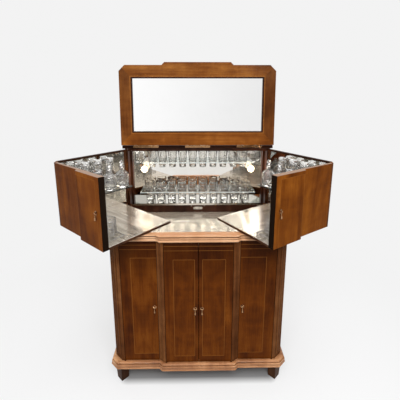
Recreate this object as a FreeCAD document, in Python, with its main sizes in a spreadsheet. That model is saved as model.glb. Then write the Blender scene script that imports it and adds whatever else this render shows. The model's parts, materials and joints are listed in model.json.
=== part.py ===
"""Walnut bar cabinet: a cupboard on blocks, two mirrored bar units that swing out, and a lid that folds up.

Everything is modelled as it lies when the cabinet is shut: X to the right, Y to the back, Z up, in
millimetres, with Y = 0 on the front of the side doors and X = 0 on the middle of the cabinet.  Four
placement frames then carry the pieces to the pose in which the cabinet is shown, with both units and
the lid open, and move the origin to the bottom centre of that pose.
"""
import FreeCAD, Part
import math
import os
import Sketcher
from FreeCAD import Placement, Rotation, Vector

doc = FreeCAD.newDocument("BarCabinet")
sheet = doc.addObject("Spreadsheet::Sheet", "Sizes")


# ---------------------------------------------------------------- sizes

class Size:
    """A number that also knows the spreadsheet expression it comes from."""

    def __init__(self, number, text):
        self.number = float(number)
        self.text = text

    def __add__(self, other):
        other = asSize(other)
        return Size(self.number + other.number, f"({self.text} + {other.text})")

    def __sub__(self, other):
        other = asSize(other)
        return Size(self.number - other.number, f"({self.text} - {other.text})")

    def __mul__(self, other):
        other = asSize(other)
        return Size(self.number * other.number, f"({self.text} * {other.text})")

    def __truediv__(self, other):
        other = asSize(other)
        return Size(self.number / other.number, f"({self.text} / {other.text})")

    def __neg__(self):
        return Size(-self.number, f"(-{self.text})")

    def __rsub__(self, other):
        return asSize(other) - self

    __radd__ = __add__
    __rmul__ = __mul__


def asSize(value):
    """Plain numbers become sizes whose expression is the number itself."""
    if isinstance(value, Size):
        return value
    return Size(value, f"{value}" if value >= 0 else f"({value})")


sheetRows = 0


def size(alias, number, note):
    """Write one driving dimension to the sheet and hand it back as a Size."""
    global sheetRows
    sheetRows += 1
    sheet.set(f"A{sheetRows}", note)
    sheet.set(f"B{sheetRows}", str(number))
    sheet.setAlias(f"B{sheetRows}", alias)
    return Size(number, f"Sizes.{alias}")


# plan of the cupboard and of the bar above it
bodyHalf = size("bodyHalf", 450, "half width of the cupboard")
barInset = size("barInset", 14, "sides of the cupboard to the sides of the bar units")
bodyDepth = size("bodyDepth", 533, "front of the side doors to the back")
bodyCant = size("bodyCant", 42, "leg of the cupboard's canted corner")
baseCant = size("baseCant", 25, "leg of the base moulding's canted corner")
barCant = size("barCant", 24, "leg of a bar unit's canted corner")
breakHalf = size("breakHalf", 184, "half width of the breakfront")
breakOut = size("breakOut", 16, "how far the breakfront stands forward")
hingeLine = size("hingeLine", 438, "front of the side doors to the hinge line of the bar units")
lidLine = size("lidLine", 446, "front of the side doors to the hinge line of the lid")
lidGap = size("lidGap", 1, "cheeks and header below the closed lid")

# heights above the floor
footHeight = size("footHeight", 98, "height of the feet")
baseHeight = size("baseHeight", 40, "height of the base moulding")
counterUnder = size("counterUnder", 835, "floor to the underside of the counter frame")
counterHeight = size("counterHeight", 37, "height of the counter frame")
deckGap = size("deckGap", 3, "gap between the counter and the bar units")
unitHigh = size("unitHigh", 331, "height of the bar units")
topThick = size("topThick", 18, "thickness of the top board and the lid")
wellDepth = size("wellDepth", 67, "depth of the mirrored well under the counter")

# boards
bodySide = size("bodySide", 14, "thickness of the cupboard's sides")
boardThick = size("boardThick", 16, "thickness of dividers, shelves and floors")
doorThick = size("doorThick", 18, "thickness of the doors")
backThick = size("backThick", 9, "thickness of the back panels")
cheekThick = size("cheekThick", 18, "thickness of the fixed back section's cheeks")
mirrorThick = size("mirrorThick", 4, "thickness of the large mirrors")
railThick = size("railThick", 12, "thickness of the rail and ledge behind the well")
wellShelf = size("wellShelf", 8, "thickness of the counter's inner shelf round the well")
ledgeDrop = size("ledgeDrop", 9, "ledge below the top of the counter frame")

# mouldings and feet
baseOut = size("baseOut", 22, "overhang of the base moulding")
baseIn = size("baseIn", 18, "base frame inside the cupboard's outline")
counterOut = size("counterOut", 20, "overhang of the counter moulding")
counterIn = size("counterIn", 10, "front of the side doors to the inner edge of the counter")
topOut = size("topOut", 16, "overhang of the lid and the top board")
footTop = size("footTop", 52, "side of a foot at the top")
footBottom = size("footBottom", 43, "side of a foot at the floor")
footInset = size("footInset", 33, "outer edges of the cupboard to the middle of a foot")

# doors, posts and gaps
postStub = size("postStub", 14, "flat of a corner post beside its door")
pilasterIn = size("pilasterIn", 10, "flat of a pilaster on the breakfront")
pilasterOut = size("pilasterOut", 8, "flat of a pilaster beside the side door")
reedRadius = size("reedRadius", 6.5, "radius of the reeds on the canted corners")
reedPitch = size("reedPitch", 16, "distance between reeds")
reedStop = size("reedStop", 26, "plain ends above and below the reeds")
doorGap = size("doorGap", 2, "gap round a door and between lid and bar units")
meetGap = size("meetGap", 3, "gap between the two middle doors")
shelfHeight = size("shelfHeight", 330, "cupboard floor to the middle of the shelves")
shelfInset = size("shelfInset", 40, "doors to the front of the cupboard shelves")

# bar units
unitSide = size("unitSide", 15, "thickness of a bar unit's side")
unitFront = size("unitFront", 13, "thickness of a bar unit's front beside the breakfront")
unitStub = size("unitStub", 12, "flat of a bar unit's corner post")
deckThick = size("deckThick", 11, "thickness of a deck board")
liningThick = size("liningThick", 3, "thickness of the mirror linings")
deckBack = size("deckBack", 382, "front of the side doors to the back edge of the decks")
meetHalf = size("meetHalf", 1.5, "half the gap between the shut bar units")
liningRim = size("liningRim", 9, "bare wood above and beside the mirror linings")
liningBack = size("liningBack", 20, "bare wood behind the side linings")
sideShelfRise = size("sideShelfRise", 146, "deck to the underside of a unit's glass shelf")
sideShelfDeep = size("sideShelfDeep", 172, "side lining to the free edge of a unit's glass shelf")
sideShelfBack = size("sideShelfBack", 340, "front of the side doors to the back of a unit's glass shelf")
glassThick = size("glassThick", 6, "thickness of the glass shelves")
studLong = size("studLong", 20, "length of a shelf stud in a bar unit")
studInset = size("studInset", 43, "ends of a unit's glass shelf to its studs")

# pose in which the cabinet is shown
leftOpen = size("leftOpen", 41.2, "how far the left unit stands open, in degrees")
rightOpen = size("rightOpen", 33.2, "how far the right unit stands open, in degrees")
lidOpen = size("lidOpen", 93.5, "how far the lid stands open, in degrees")

# hinges
leafThick = size("leafThick", 1.2, "thickness of a hinge leaf")
leafGap = size("leafGap", 0.2, "gap between shut hinge leaves")
knuckleRadius = size("knuckleRadius", 3, "radius of a hinge knuckle")
knuckleClear = size("knuckleClear", 0.1, "gap between a knuckle and the face behind it")
pinRadius = size("pinRadius", 1.5, "radius of a hinge pin")
pinClear = size("pinClear", 0.05, "radial clearance of a pin")
leafWide = size("leafWide", 13, "width of a hinge leaf")
doorHinge = size("doorHinge", 45, "length of a door's pivot plate")
lidHinge = size("lidHinge", 150, "length of a lid hinge")
lidHingeAt = size("lidHingeAt", 310, "middle of the lid to the middle of its outer hinges")
pianoMargin = size("pianoMargin", 8, "bare ends above and below a bar unit's long hinge")
knuckleSlot = size("knuckleSlot", 0.15, "end gap between knuckles")

# lid
lidStile = size("lidStile", 67, "sides of the lid to the opening under it")
lidMirrorBack = size("lidMirrorBack", 76, "hinge line to the opening under the lid")
lidMirrorDeep = size("lidMirrorDeep", 320, "depth of the opening under the lid")
lidBead = size("lidBead", 8, "width of the bead round the lid's mirror")
lidRecess = size("lidRecess", 8, "lid's underside to its mirror")

# fixed back section
headerHigh = size("headerHigh", 14, "height of the rail under the top board")
sideBead = size("sideBead", 9, "width of the beads beside the back mirror")
lowShelfRise = size("lowShelfRise", 66, "ledge to the underside of the lower glass shelf")
highShelfRise = size("highShelfRise", 254, "ledge to the underside of the upper glass shelf")
lowShelfEnd = size("lowShelfEnd", 63, "cheeks to the ends of the lower glass shelf")
highShelfEnd = size("highShelfEnd", 83, "cheeks to the ends of the upper glass shelf")
rowPitchLow = size("rowPitchLow", 66.6, "pitch of the lower row of glasses")
rowPitchHigh = size("rowPitchHigh", 62.2, "pitch of the upper row of glasses")
shelfEdge = size("shelfEdge", 3, "hinge line to the front edge of the glass shelves")
rowEnd = size("rowEnd", 54, "ends of a glass shelf kept free of glasses")
bracketEvery = 3  # glasses between two shelf brackets
bracketRadius = size("bracketRadius", 3, "radius of a shelf bracket's arm")
bracketPlate = size("bracketPlate", 9, "radius of a shelf bracket's plate")
bracketFlange = size("bracketFlange", 2, "thickness of a bracket's plate")
lampAt = size("lampAt", 328, "middle to a lamp")
lampRise = size("lampRise", 212, "ledge to the middle of a bulb")
bulbRadius = size("bulbRadius", 22, "radius of a bulb")
bulbNeck = size("bulbNeck", 8, "radius of a bulb's neck")
holderRadius = size("holderRadius", 11, "radius of a lamp holder")
holderLong = size("holderLong", 20, "length of a lamp holder")

# glasses
wallThick = size("wallThick", 1.6, "wall of a glass")
footThick = size("footThick", 6, "solid bottom of a glass")
tallHigh = size("tallHigh", 135, "height of a tall tumbler")
tallRim = size("tallRim", 30, "rim radius of a tall tumbler")
tallBase = size("tallBase", 22, "base radius of a tall tumbler")
hungHigh = size("hungHigh", 100, "height of a hung tumbler")
hungRim = size("hungRim", 28, "rim radius of a hung tumbler")
hungBase = size("hungBase", 20, "base radius of a hung tumbler")
hungDrop = size("hungDrop", 34, "hung tumbler below the top of its shelf")
shortHigh = size("shortHigh", 92, "height of a tumbler in a bar unit")
shortRim = size("shortRim", 27, "rim radius of a tumbler in a bar unit")
shortBase = size("shortBase", 21, "base radius of a tumbler in a bar unit")
glassClear = size("glassClear", 0.3, "clearance of a glass in its hole or on its seat")
glassSpace = size("glassSpace", 4, "space between the glasses on a unit's shelf")
decanterHigh = size("decanterHigh", 112, "height of a decanter to its lip")
decanterRadius = size("decanterRadius", 37, "radius of a decanter's body")
decanterNeck = size("decanterNeck", 12, "radius of a decanter's neck")
stopperHigh = size("stopperHigh", 30, "height of a stopper above the lip")
stopperRadius = size("stopperRadius", 13, "radius of a stopper's ball")

# bottle cages on the decks
cageEdge = size("cageEdge", 33, "middle of the cabinet to a cage's base")
cageBase = size("cageBase", 96, "side of a cage's square base")
cageFront = size("cageFront", 4, "front lining to a cage's base")
cageLift = size("cageLift", 8, "deck to the wires of a cage's base")
cageRadius = size("cageRadius", 35, "middle of a cage to its posts and rings")
cageRail = size("cageRail", 2.2, "radius of the wire of a cage's base")
ringPitch = size("ringPitch", 16, "distance between the rings of a cage")
ringCount = 5

# pulls
pullHeight = size("pullHeight", 462, "floor to the pivots of the door pulls")
unitPullRise = size("unitPullRise", 171, "bottom of a bar unit to the pivot of its pull")
doorPullInset = size("doorPullInset", 16, "free edge of a door to its pull")
unitPullInset = size("unitPullInset", 33, "free edge of a bar unit to its pull")
plateRadius = size("plateRadius", 9, "radius of a pull's back plate")
plateThick = size("plateThick", 2, "thickness of a pull's back plate")
lugHalf = size("lugHalf", 5, "middle of a pull to the outside of its lugs")
lugThick = size("lugThick", 1.6, "thickness of a lug")
lugRadius = size("lugRadius", 3, "radius of a lug")
pivotOut = size("pivotOut", 6.5, "door face to the axis of a pull")
pivotRadius = size("pivotRadius", 1.1, "radius of a pull's pivot")
eyeRadius = size("eyeRadius", 2.8, "radius of a drop's eye")
dropLong = size("dropLong", 34, "pivot to the tip of a drop")
dropRadius = size("dropRadius", 5, "radius of a drop at its widest")
dropNeck = size("dropNeck", 1.7, "radius of a drop's neck")

# the cabinet's origin, filled in once the open pose has been measured
originX = size("originX", 0, "closed frame to the origin, to the right")
originY = size("originY", 0, "closed frame to the origin, to the back")

mitre = Size(math.tan(math.radians(22.5)), "tan(22.5)")  # setback of a 45 degree turn per unit of offset
diagonal = Size(math.sqrt(0.5), "sqrt(0.5)")

# levels and planes that several pieces share
barHalf = bodyHalf - barInset
baseTop = footHeight + baseHeight
counterTop = counterUnder + counterHeight
wellFloor = counterTop - wellDepth
wellUnder = wellFloor - mirrorThick - boardThick
ledgeTop = counterTop - ledgeDrop
unitBottom = counterTop + deckGap
unitTop = unitBottom + unitHigh
topUnder = unitTop + doorGap
barTop = topUnder + topThick
unitPullHeight = unitBottom + unitPullRise
deckTop = unitBottom + deckThick + liningThick
hingeSlit = leafThick * 2 + leafGap
unitBack = hingeLine - hingeSlit / 2
cheekFront = hingeLine + hingeSlit / 2
backFace = bodyDepth - backThick
mirrorFace = backFace - mirrorThick
cheekInner = barHalf - cheekThick
axisOut = knuckleRadius + knuckleClear
bodyInner = bodyHalf - bodySide
doorBottom = baseTop + doorGap
doorTop = counterUnder - doorGap
postInner = bodyHalf - bodyCant - postStub
pilasterOuter = breakHalf + breakOut + pilasterOut
pilasterInner = breakHalf - pilasterIn
lidMirrorHalf = barHalf + topOut - lidStile
lowShelfHalf = cheekInner - lowShelfEnd
highShelfHalf = cheekInner - highShelfEnd


# ---------------------------------------------------------------- helpers

def bind(obj, prop, value):
    obj.setExpression(prop, asSize(value).text)


def move(obj, x=0, y=0, z=0, prop="Placement"):
    """Bind an object's position to sizes."""
    for letter, value in zip("xyz", (x, y, z)):
        bind(obj, f".{prop}.Base.{letter}", value)


def centreOfArc(start, end, radius):
    """Centre of an arc of the given signed radius: positive turns left from start to end."""
    chord = end - start
    half = chord.Length / 2
    rise = math.sqrt(max(radius * radius - half * half, 0))
    left = Vector(-chord.y, chord.x, 0).normalize()
    return (start + end) / 2 + left * math.copysign(rise, radius)


def outline(sketch, corners, closed=True):
    """Draw corners as (x, y) or (x, y, radius), the radius bending the edge that leaves that corner."""
    points = [Vector(asSize(corner[0]).number, asSize(corner[1]).number, 0) for corner in corners]
    edgeCount = len(points) if closed else len(points) - 1
    ends = []
    for index in range(edgeCount):
        start, end = points[index], points[(index + 1) % len(points)]
        if len(corners[index]) == 2:
            sketch.addGeometry(Part.LineSegment(start, end), False)
            ends.append((1, 2))
            continue
        radius = asSize(corners[index][2])
        centre = centreOfArc(start, end, radius.number)
        first, last = (start, end) if radius.number > 0 else (end, start)
        angles = [math.atan2(point.y - centre.y, point.x - centre.x) for point in (first, last)]
        circle = Part.Circle(centre, Vector(0, 0, 1), abs(radius.number))
        sketch.addGeometry(Part.ArcOfCircle(circle, angles[0], angles[1]), False)
        ends.append((1, 2) if radius.number > 0 else (2, 1))
    for index in range(edgeCount if closed else edgeCount - 1):
        after = (index + 1) % edgeCount
        sketch.addConstraint(Sketcher.Constraint("Coincident", index, ends[index][1], after, ends[after][0]))
    for index, corner in enumerate(corners):
        edge, end = (index, ends[index][0]) if index < edgeCount else (index - 1, ends[index - 1][1])
        for kind, value in zip(("DistanceX", "DistanceY"), corner):
            value = asSize(value)
            number = sketch.addConstraint(Sketcher.Constraint(kind, -1, 1, edge, end, value.number))
            sketch.setExpression(f"Constraints[{number}]", value.text)
    for index in range(edgeCount):
        if len(corners[index]) == 3:
            radius = asSize(corners[index][2])
            number = sketch.addConstraint(Sketcher.Constraint("Radius", index, abs(radius.number)))
            sketch.setExpression(f"Constraints[{number}]", f"abs({radius.text})")


def bodySketch(body, role, name, offset=0):
    """A sketch on one of the body's own origin planes, moved along the plane's normal by offset."""
    sketch = body.newObject("Sketcher::SketchObject", name)
    planes = [feature for feature in body.Origin.OriginFeatures if feature.Role == role]
    sketch.AttachmentSupport = (planes[0], [""])
    sketch.MapMode = "FlatFace"
    bind(sketch, ".AttachmentOffset.Base.z", offset)
    return sketch


def prism(name, corners, bottom, top):
    """An upright board or post with the given plan."""
    body = doc.addObject("PartDesign::Body", name)
    sketch = bodySketch(body, "XY_Plane", name + "Plan", bottom)
    outline(sketch, corners)
    pad = body.newObject("PartDesign::Pad", name + "Pad")
    pad.Profile = sketch
    bind(pad, "Length", top - bottom)
    return body


def turned(name, corners):
    """A body turned about the Z axis from corners given as (radius, height)."""
    body = doc.addObject("PartDesign::Body", name)
    sketch = bodySketch(body, "XZ_Plane", name + "Profile")
    outline(sketch, corners)
    revolution = body.newObject("PartDesign::Revolution", name + "Turn")
    revolution.Profile = sketch
    revolution.ReferenceAxis = (sketch, ["V_Axis"])
    revolution.Angle = 360
    return body


def box(name, x, y, z):
    """A rectangular board from three (low, high) pairs."""
    board = doc.addObject("Part::Box", name)
    for prop, (low, high) in zip(("Length", "Width", "Height"), (x, y, z)):
        bind(board, prop, asSize(high) - low)
    move(board, x[0], y[0], z[0])
    return board


def mirrored(side, low, high):
    """The (low, high) pair on the left (-1) or right (+1) side of the middle."""
    return (low, high) if side > 0 else (-asSize(high), -asSize(low))


turns = {"X": Rotation(Vector(0, 1, 0), 90), "Y": Rotation(Vector(1, 0, 0), -90), "Z": Rotation()}


def rod(name, axis, radius, length, x, y, z):
    """A cylinder that starts at x, y, z and runs along +X, +Y or +Z."""
    cylinder = doc.addObject("Part::Cylinder", name)
    cylinder.Placement = Placement(Vector(), turns[axis])
    bind(cylinder, "Radius", radius)
    bind(cylinder, "Height", length)
    move(cylinder, x, y, z)
    return cylinder


def fuse(name, shapes):
    joined = doc.addObject("Part::MultiFuse", name)
    joined.Shapes = shapes
    return joined


def cut(name, base, tools):
    result = doc.addObject("Part::Cut", name)
    result.Base = base
    result.Tool = tools[0] if len(tools) == 1 else fuse(name + "Tools", tools)
    return result


def copy(name, source, x=0, y=0, z=0, rotation=None):
    """A linked copy of a piece at another place."""
    link = doc.addObject("App::Link", name)
    link.LinkedObject = source
    link.Placement = Placement(Vector(), rotation or Rotation())
    move(link, x, y, z)
    return link


subParts = []


def subPart(label, frame, pieces):
    """Gather the solids of one named sub-part and tie it to the frame of the body that carries it."""
    part = doc.addObject("Part::Compound", label)
    part.Label = label
    part.Links = pieces
    part.setExpression("Placement", f"{frame.Name}.Placement")
    subParts.append(part)
    return part


def makeFrame(name, angle=0, axis="z", centre=(0, 0, 0)):
    """A placement that turns about an axis line and then moves to the cabinet's origin."""
    frame = doc.addObject("App::Placement", name)
    direction = {"x": "1; 0; 0", "z": "0; 0; 1"}[axis]
    middle = "; ".join(asSize(value).text for value in centre)
    shift = f"create(<<vector>>; {originX.text}; {originY.text}; 0)"
    turn = f"create(<<rotation>>; create(<<vector>>; {direction}); {asSize(angle).text})"
    about = f"create(<<vector>>; {middle})"
    frame.setExpression("Placement", f"create(<<placement>>; {shift}; {turn}; {about})")
    return frame


def planCorners(half, cant, offset, back):
    """Plan from the left back corner round the front to the right back corner, offset outwards."""
    setback = offset * mitre
    right = [(breakHalf + setback, -breakOut - offset),
             (breakHalf + breakOut + setback, -asSize(offset)),
             (half - cant + setback, -asSize(offset)),
             (half + offset, cant - setback),
             (half + offset, back)]
    left = [(-x, y) for x, y in reversed(right)]
    return left + right


def moulding(name, cant, bottom, profile):
    """Run a profile of (outwards, upwards) corners round the front and sides of the cupboard."""
    path = doc.addObject("Sketcher::SketchObject", name + "Path")
    outline(path, planCorners(bodyHalf, cant, Size(0, "0"), bodyDepth), closed=False)
    move(path, 0, 0, bottom)
    section = doc.addObject("Sketcher::SketchObject", name + "Section")
    section.Placement = Placement(Vector(), Rotation(Vector(1, 0, 0), 90))
    outline(section, [(-asSize(corner[0]), corner[1]) + tuple(-asSize(radius) for radius in corner[2:])
                      for corner in profile])
    move(section, -bodyHalf, bodyDepth, bottom)
    sweep = doc.addObject("Part::Sweep", name)
    sweep.Sections = [section]
    sweep.Spine = (path, [f"Edge{number + 1}" for number in range(9)])
    sweep.Solid = True
    sweep.Transition = "Right corner"
    return sweep


def scaled(shares, out, high):
    """Corners given as shares of a moulding's overhang and height, radii as shares of the height."""
    return [(out * share[0], high * share[1]) + tuple(high * radius for radius in share[2:])
            for share in shares]


def hinge(name, length, knuckles):
    """A knuckle hinge along Z about the origin, its leaves shut and pointing to +Y.

    Gives the leaf on the -X side, which carries the pin, and the leaf on the +X side.
    """
    pitch = length / knuckles
    leaves = []
    for side, parity in ((-1, 0), (1, 1)):
        stem = f"{name}{'Fixed' if side < 0 else 'Moving'}"
        reach = mirrored(side, leafGap / 2, leafGap / 2 + leafThick)
        solids = [box(stem + "Leaf", reach, (axisOut, axisOut + leafWide), (0, length))]
        for index in range(parity, knuckles, 2):
            low = pitch * index + knuckleSlot / 2
            high = pitch * (index + 1) - knuckleSlot / 2
            solids.append(rod(f"{stem}Knuckle{index}", "Z", knuckleRadius, high - low, 0, 0, low))
            solids.append(box(f"{stem}Web{index}", reach, (0, axisOut + leafThick), (low, high)))
        bore = rod(stem + "Bore", "Z", pinRadius + pinClear, length, 0, 0, 0)
        leaves.append(cut(stem, fuse(stem + "Solid", solids), [bore]))
    pin = rod(name + "Pin", "Z", pinRadius, length, 0, 0, 0)
    return leaves[0], pin, leaves[1]


def pivotPair(name, up):
    """Two flat plates that turn on one another about Z in the gap above or below a door.

    The plate that carries the pin lies on Z = 0 and faces up or down; both point to +X and +Y.
    """
    thick = (doorGap - leafGap) / 2
    whole = doorGap - leafGap / 4
    plates = []
    for stem, near in (("Fixed", asSize(0)), ("Moving", thick + leafGap)):
        reach = (near, near + thick) if up else (-(near + thick), -near)
        eye = rod(f"{name}{stem}Eye", "Z", knuckleRadius, thick, 0, 0, reach[0])
        neck = box(f"{name}{stem}Neck", (0, knuckleRadius * 2), (0, axisOut + knuckleRadius), reach)
        plate = box(f"{name}{stem}Plate", (leafGap + hingeSlit / 2, doorHinge),
                    (axisOut + leafThick, axisOut + leafWide), reach)
        plates.append([eye, neck, plate])
    pin = rod(name + "Pin", "Z", pinRadius, whole, 0, 0, 0 if up else -whole)
    bore = rod(name + "Bore", "Z", pinRadius + pinClear, doorGap * 3, 0, 0, -doorGap * 1.5)
    fixed = fuse(name + "Fixed", plates[0] + [pin])
    return fixed, cut(name + "Moving", fuse(name + "MovingWhole", plates[1]), [bore])


# ---------------------------------------------------------------- frames

carcass = makeFrame("carcassFrame")
unitAxisX = barHalf + axisOut
lidAxisZ = barTop + axisOut
frames = {
    -1: makeFrame("leftUnitFrame", -leftOpen, "z", (-unitAxisX, hingeLine, 0)),
    1: makeFrame("rightUnitFrame", rightOpen, "z", (unitAxisX, hingeLine, 0)),
}
lidFrame = makeFrame("lidFrame", -lidOpen, "x", (0, lidLine, lidAxisZ))
sideNames = {-1: "left", 1: "right"}


# ---------------------------------------------------------------- cupboard

def makeFeet():
    """Square blocks set diagonally under the four corners, tapering to the floor."""
    block = doc.addObject("PartDesign::Body", "footBlock")
    sections = []
    for name, side, height in (("footSole", footBottom, 0), ("footHead", footTop, footHeight)):
        reach = side * diagonal
        sketch = bodySketch(block, "XY_Plane", name, height)
        outline(sketch, [(reach, 0), (0, reach), (-reach, 0), (0, -reach)])
        sections.append(sketch)
    loft = block.newObject("PartDesign::AdditiveLoft", "footLoft")
    loft.Profile = sections[0]
    loft.Sections = sections[1:]
    x = bodyHalf - footInset
    places = [(-x, footInset), (x, footInset), (-x, bodyDepth - footInset), (x, bodyDepth - footInset)]
    subPart("feet", carcass, [copy(f"foot{n}", block, *place) for n, place in enumerate(places)])


def makeBase():
    """Moulded frame on the feet, with three rounded members and a hollow, and the floor inside it."""
    shares = [(0.78, 0, 0.17), (0.78, 0.325), (0.70, 0.325), (0.70, 0.365), (0.88, 0.365),
              (0.89, 0.575, 0.10), (0.73, 0.68), (0.57, 0.68, -0.075), (0.57, 0.82), (0.68, 0.82),
              (0.73, 0.855, 0.34), (0.23, 1)]
    profile = [(-baseIn, 0)] + scaled(shares, baseOut, baseHeight) + [(-baseIn, baseHeight)]
    subPart("base_moulding", carcass, [moulding("baseSweep", baseCant, footHeight, profile)])
    floor = prism("floorBoard", planCorners(bodyHalf, baseCant, -baseIn, bodyDepth),
                  baseTop - boardThick, baseTop)
    subPart("cupboard_floor", carcass, [floor])


def makeUprights():
    """Sides, canted corner posts with reeds, pilasters and the dividers behind them."""
    sides, posts, pilasters, dividers = [], [], [], []
    for side in (-1, 1):
        hand = sideNames[side]
        inner, outer = bodyInner, bodyHalf
        sides.append(box(hand + "Side", mirrored(side, inner, outer), (bodyCant, bodyDepth),
                         (baseTop, counterTop)))
        plan = [(bodyHalf, bodyCant), (bodyHalf - bodyCant, 0), (postInner, 0), (postInner, bodyCant)]
        post = prism(hand + "Post", [(x * side, y) for x, y in plan], baseTop, counterUnder)
        reeds = []
        for index in (-1, 0, 1):
            along = reedPitch * diagonal * index
            reeds.append(rod(f"{hand}Reed{index + 1}", "Z", reedRadius,
                             counterUnder - baseTop - reedStop * 2,
                             (bodyHalf - bodyCant / 2 + along) * side, bodyCant / 2 + along,
                             baseTop + reedStop))
        posts.append(fuse(hand + "ReededPost", [post] + reeds))
        plan = [(pilasterOuter, 0), (breakHalf + breakOut, 0), (breakHalf, -breakOut),
                (pilasterInner, -breakOut), (pilasterInner, doorThick), (pilasterOuter, doorThick)]
        pilasters.append(prism(hand + "Pilaster", [(x * side, asSize(y)) for x, y in plan],
                               baseTop, counterUnder))
        middle = (pilasterInner + pilasterOuter) / 2
        dividers.append(box(hand + "Divider",
                            mirrored(side, middle - boardThick / 2, middle + boardThick / 2),
                            (doorThick, backFace), (baseTop, wellUnder)))
    subPart("cupboard_sides", carcass, sides)
    subPart("corner_posts", carcass, posts)
    subPart("pilasters", carcass, pilasters)
    subPart("bay_dividers", carcass, dividers)


def makeCupboardInside():
    """Shelves of the three bays, and the back panels of the cupboard and of the bar above it."""
    middle = (pilasterInner + pilasterOuter) / 2
    near = middle - boardThick / 2
    far = middle + boardThick / 2
    low = baseTop + shelfHeight
    spans = [(-bodyInner, -far), (-near, near), (far, bodyInner)]
    shelves = [box(f"bayShelf{n}", span, (doorThick + shelfInset, backFace), (low, low + boardThick))
               for n, span in enumerate(spans)]
    subPart("cupboard_shelves", carcass, shelves)
    lower = box("lowerBack", (-bodyInner, bodyInner), (backFace, bodyDepth), (baseTop, wellUnder))
    upper = box("upperBack", (-bodyInner, bodyInner), (backFace, bodyDepth), (wellUnder, topUnder))
    subPart("back_panels", carcass, [lower, upper])


def makeCounter():
    """Counter frame with its moulded edge, round the sunk well with its mirrored floor."""
    shares = [(0.70, 0, 0.20), (0.70, 0.38), (0.58, 0.38), (0.58, 0.44), (0.80, 0.45),
              (0.80, 0.60, 0.08), (0.70, 0.66), (0.48, 0.66), (0.48, 0.80), (0.94, 0.82),
              (1, 0.86), (1, 0.97), (0.95, 1)]
    profile = [(0, 0)] + scaled(shares, counterOut, counterHeight) + [(0, counterHeight)]
    edge = moulding("counterSweep", bodyCant, counterUnder, profile)
    wall = bodyCant
    stub = bodyHalf - bodyCant
    front = [(-bodyHalf, bodyCant), (-stub, 0), (-breakHalf - breakOut, 0), (-breakHalf, -breakOut),
             (breakHalf, -breakOut), (breakHalf + breakOut, 0), (stub, 0), (bodyHalf, bodyCant),
             (bodyInner, bodyCant), (bodyInner, counterIn), (-bodyInner, counterIn), (-bodyInner, bodyCant)]
    rail = prism("counterRail", [(x, asSize(y)) for x, y in front], counterUnder, counterTop)
    shelf = box("wellShelf", (-bodyInner, bodyInner), (0, wall), (counterUnder, counterUnder + wellShelf))
    wellWall = box("wellWall", (-postInner, postInner), (doorThick + doorGap, wall),
                   (wellUnder, counterUnder + wellShelf / 2))
    subPart("counter_frame", carcass, [fuse("counterSolid", [edge, rail, shelf, wellWall])])
    floor = box("wellBoard", (-bodyInner, bodyInner), (wall, backFace), (wellUnder, wellFloor - mirrorThick))
    subPart("well_floor", carcass, [floor])
    mirror = box("wellGlass", (-bodyInner, bodyInner), (wall, backFace),
                 (wellFloor - mirrorThick, wellFloor))
    subPart("well_mirror", carcass, [mirror])
    face = box("railBoard", (-cheekInner, cheekInner), (hingeLine, hingeLine + railThick),
               (wellFloor, ledgeTop - railThick))
    subPart("well_back_rail", carcass, [face])
    ledge = box("ledgeBoard", (-cheekInner, cheekInner), (hingeLine, mirrorFace),
                (ledgeTop - railThick, ledgeTop))
    subPart("glass_ledge", carcass, [ledge])


# ---------------------------------------------------------------- fixed back section

def lidRelief(name):
    """Strip taken off the top of what stands under the back edge of the closed lid."""
    return box(name, (-barHalf, barHalf), (hingeLine, lidLine + hingeSlit / 2),
               (topUnder - lidGap, topUnder + lidGap))


def makeBackSection():
    """Cheeks, mirror and its surround, and the top board that carries the lid."""
    cheeks = []
    surround = []
    for side in (-1, 1):
        hand = sideNames[side]
        lower = box(hand + "CheekFoot", mirrored(side, cheekInner, bodyInner), (cheekFront, backFace),
                    (wellFloor, counterTop))
        upper = box(hand + "CheekBoard", mirrored(side, cheekInner, barHalf), (cheekFront, bodyDepth),
                    (counterTop, topUnder))
        notch = box(hand + "CheekNotch", mirrored(side, cheekInner, bodyInner), (backFace, bodyDepth),
                    (counterTop, topUnder))
        relief = lidRelief(hand + "CheekRelief")
        cheeks.append(cut(hand + "Cheek", fuse(hand + "CheekWhole", [lower, upper]), [notch, relief]))
        surround.append(box(hand + "MirrorBead", mirrored(side, cheekInner - sideBead, cheekInner),
                            (mirrorFace - glassThick, mirrorFace), (ledgeTop, topUnder - headerHigh)))
    subPart("back_cheeks", carcass, cheeks)
    whole = box("headerWhole", (-cheekInner, cheekInner), (cheekFront, cheekFront + cheekThick),
                (topUnder - headerHigh, topUnder))
    header = cut("headerBoard", whole, [lidRelief("headerRelief")])
    cap = box("mirrorCap", (-cheekInner, cheekInner), (mirrorFace - glassThick, mirrorFace),
              (topUnder - headerHigh, topUnder))
    subPart("mirror_surround", carcass, surround + [header, cap])
    mirror = box("backGlass", (-cheekInner, cheekInner), (mirrorFace, backFace),
                 (ledgeTop - railThick, topUnder))
    subPart("back_mirror", carcass, [mirror])
    half = barHalf + topOut
    board = box("topBoardSolid", (-half, half), (lidLine + hingeSlit / 2, bodyDepth), (topUnder, barTop))
    subPart("top_board", carcass, [board])


def tumbler(name, height, rim, base):
    """A tumbler standing on Z = 0: a slightly flared cup with a heavy bottom."""
    return turned(name, [(0, 0), (base, 0), (rim, height), (rim - wallThick, height),
                         (base - wallThick + (rim - base) * footThick / height, footThick), (0, footThick)])


def rowPlaces(half, pitch):
    """Middles of the glasses in a row, as many on each side of the middle as the shelf takes."""
    perSide = int((half - rowEnd).number / pitch.number + 0.5)
    return [pitch * (index + 0.5) for index in range(-perSide, perSide)]


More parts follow.
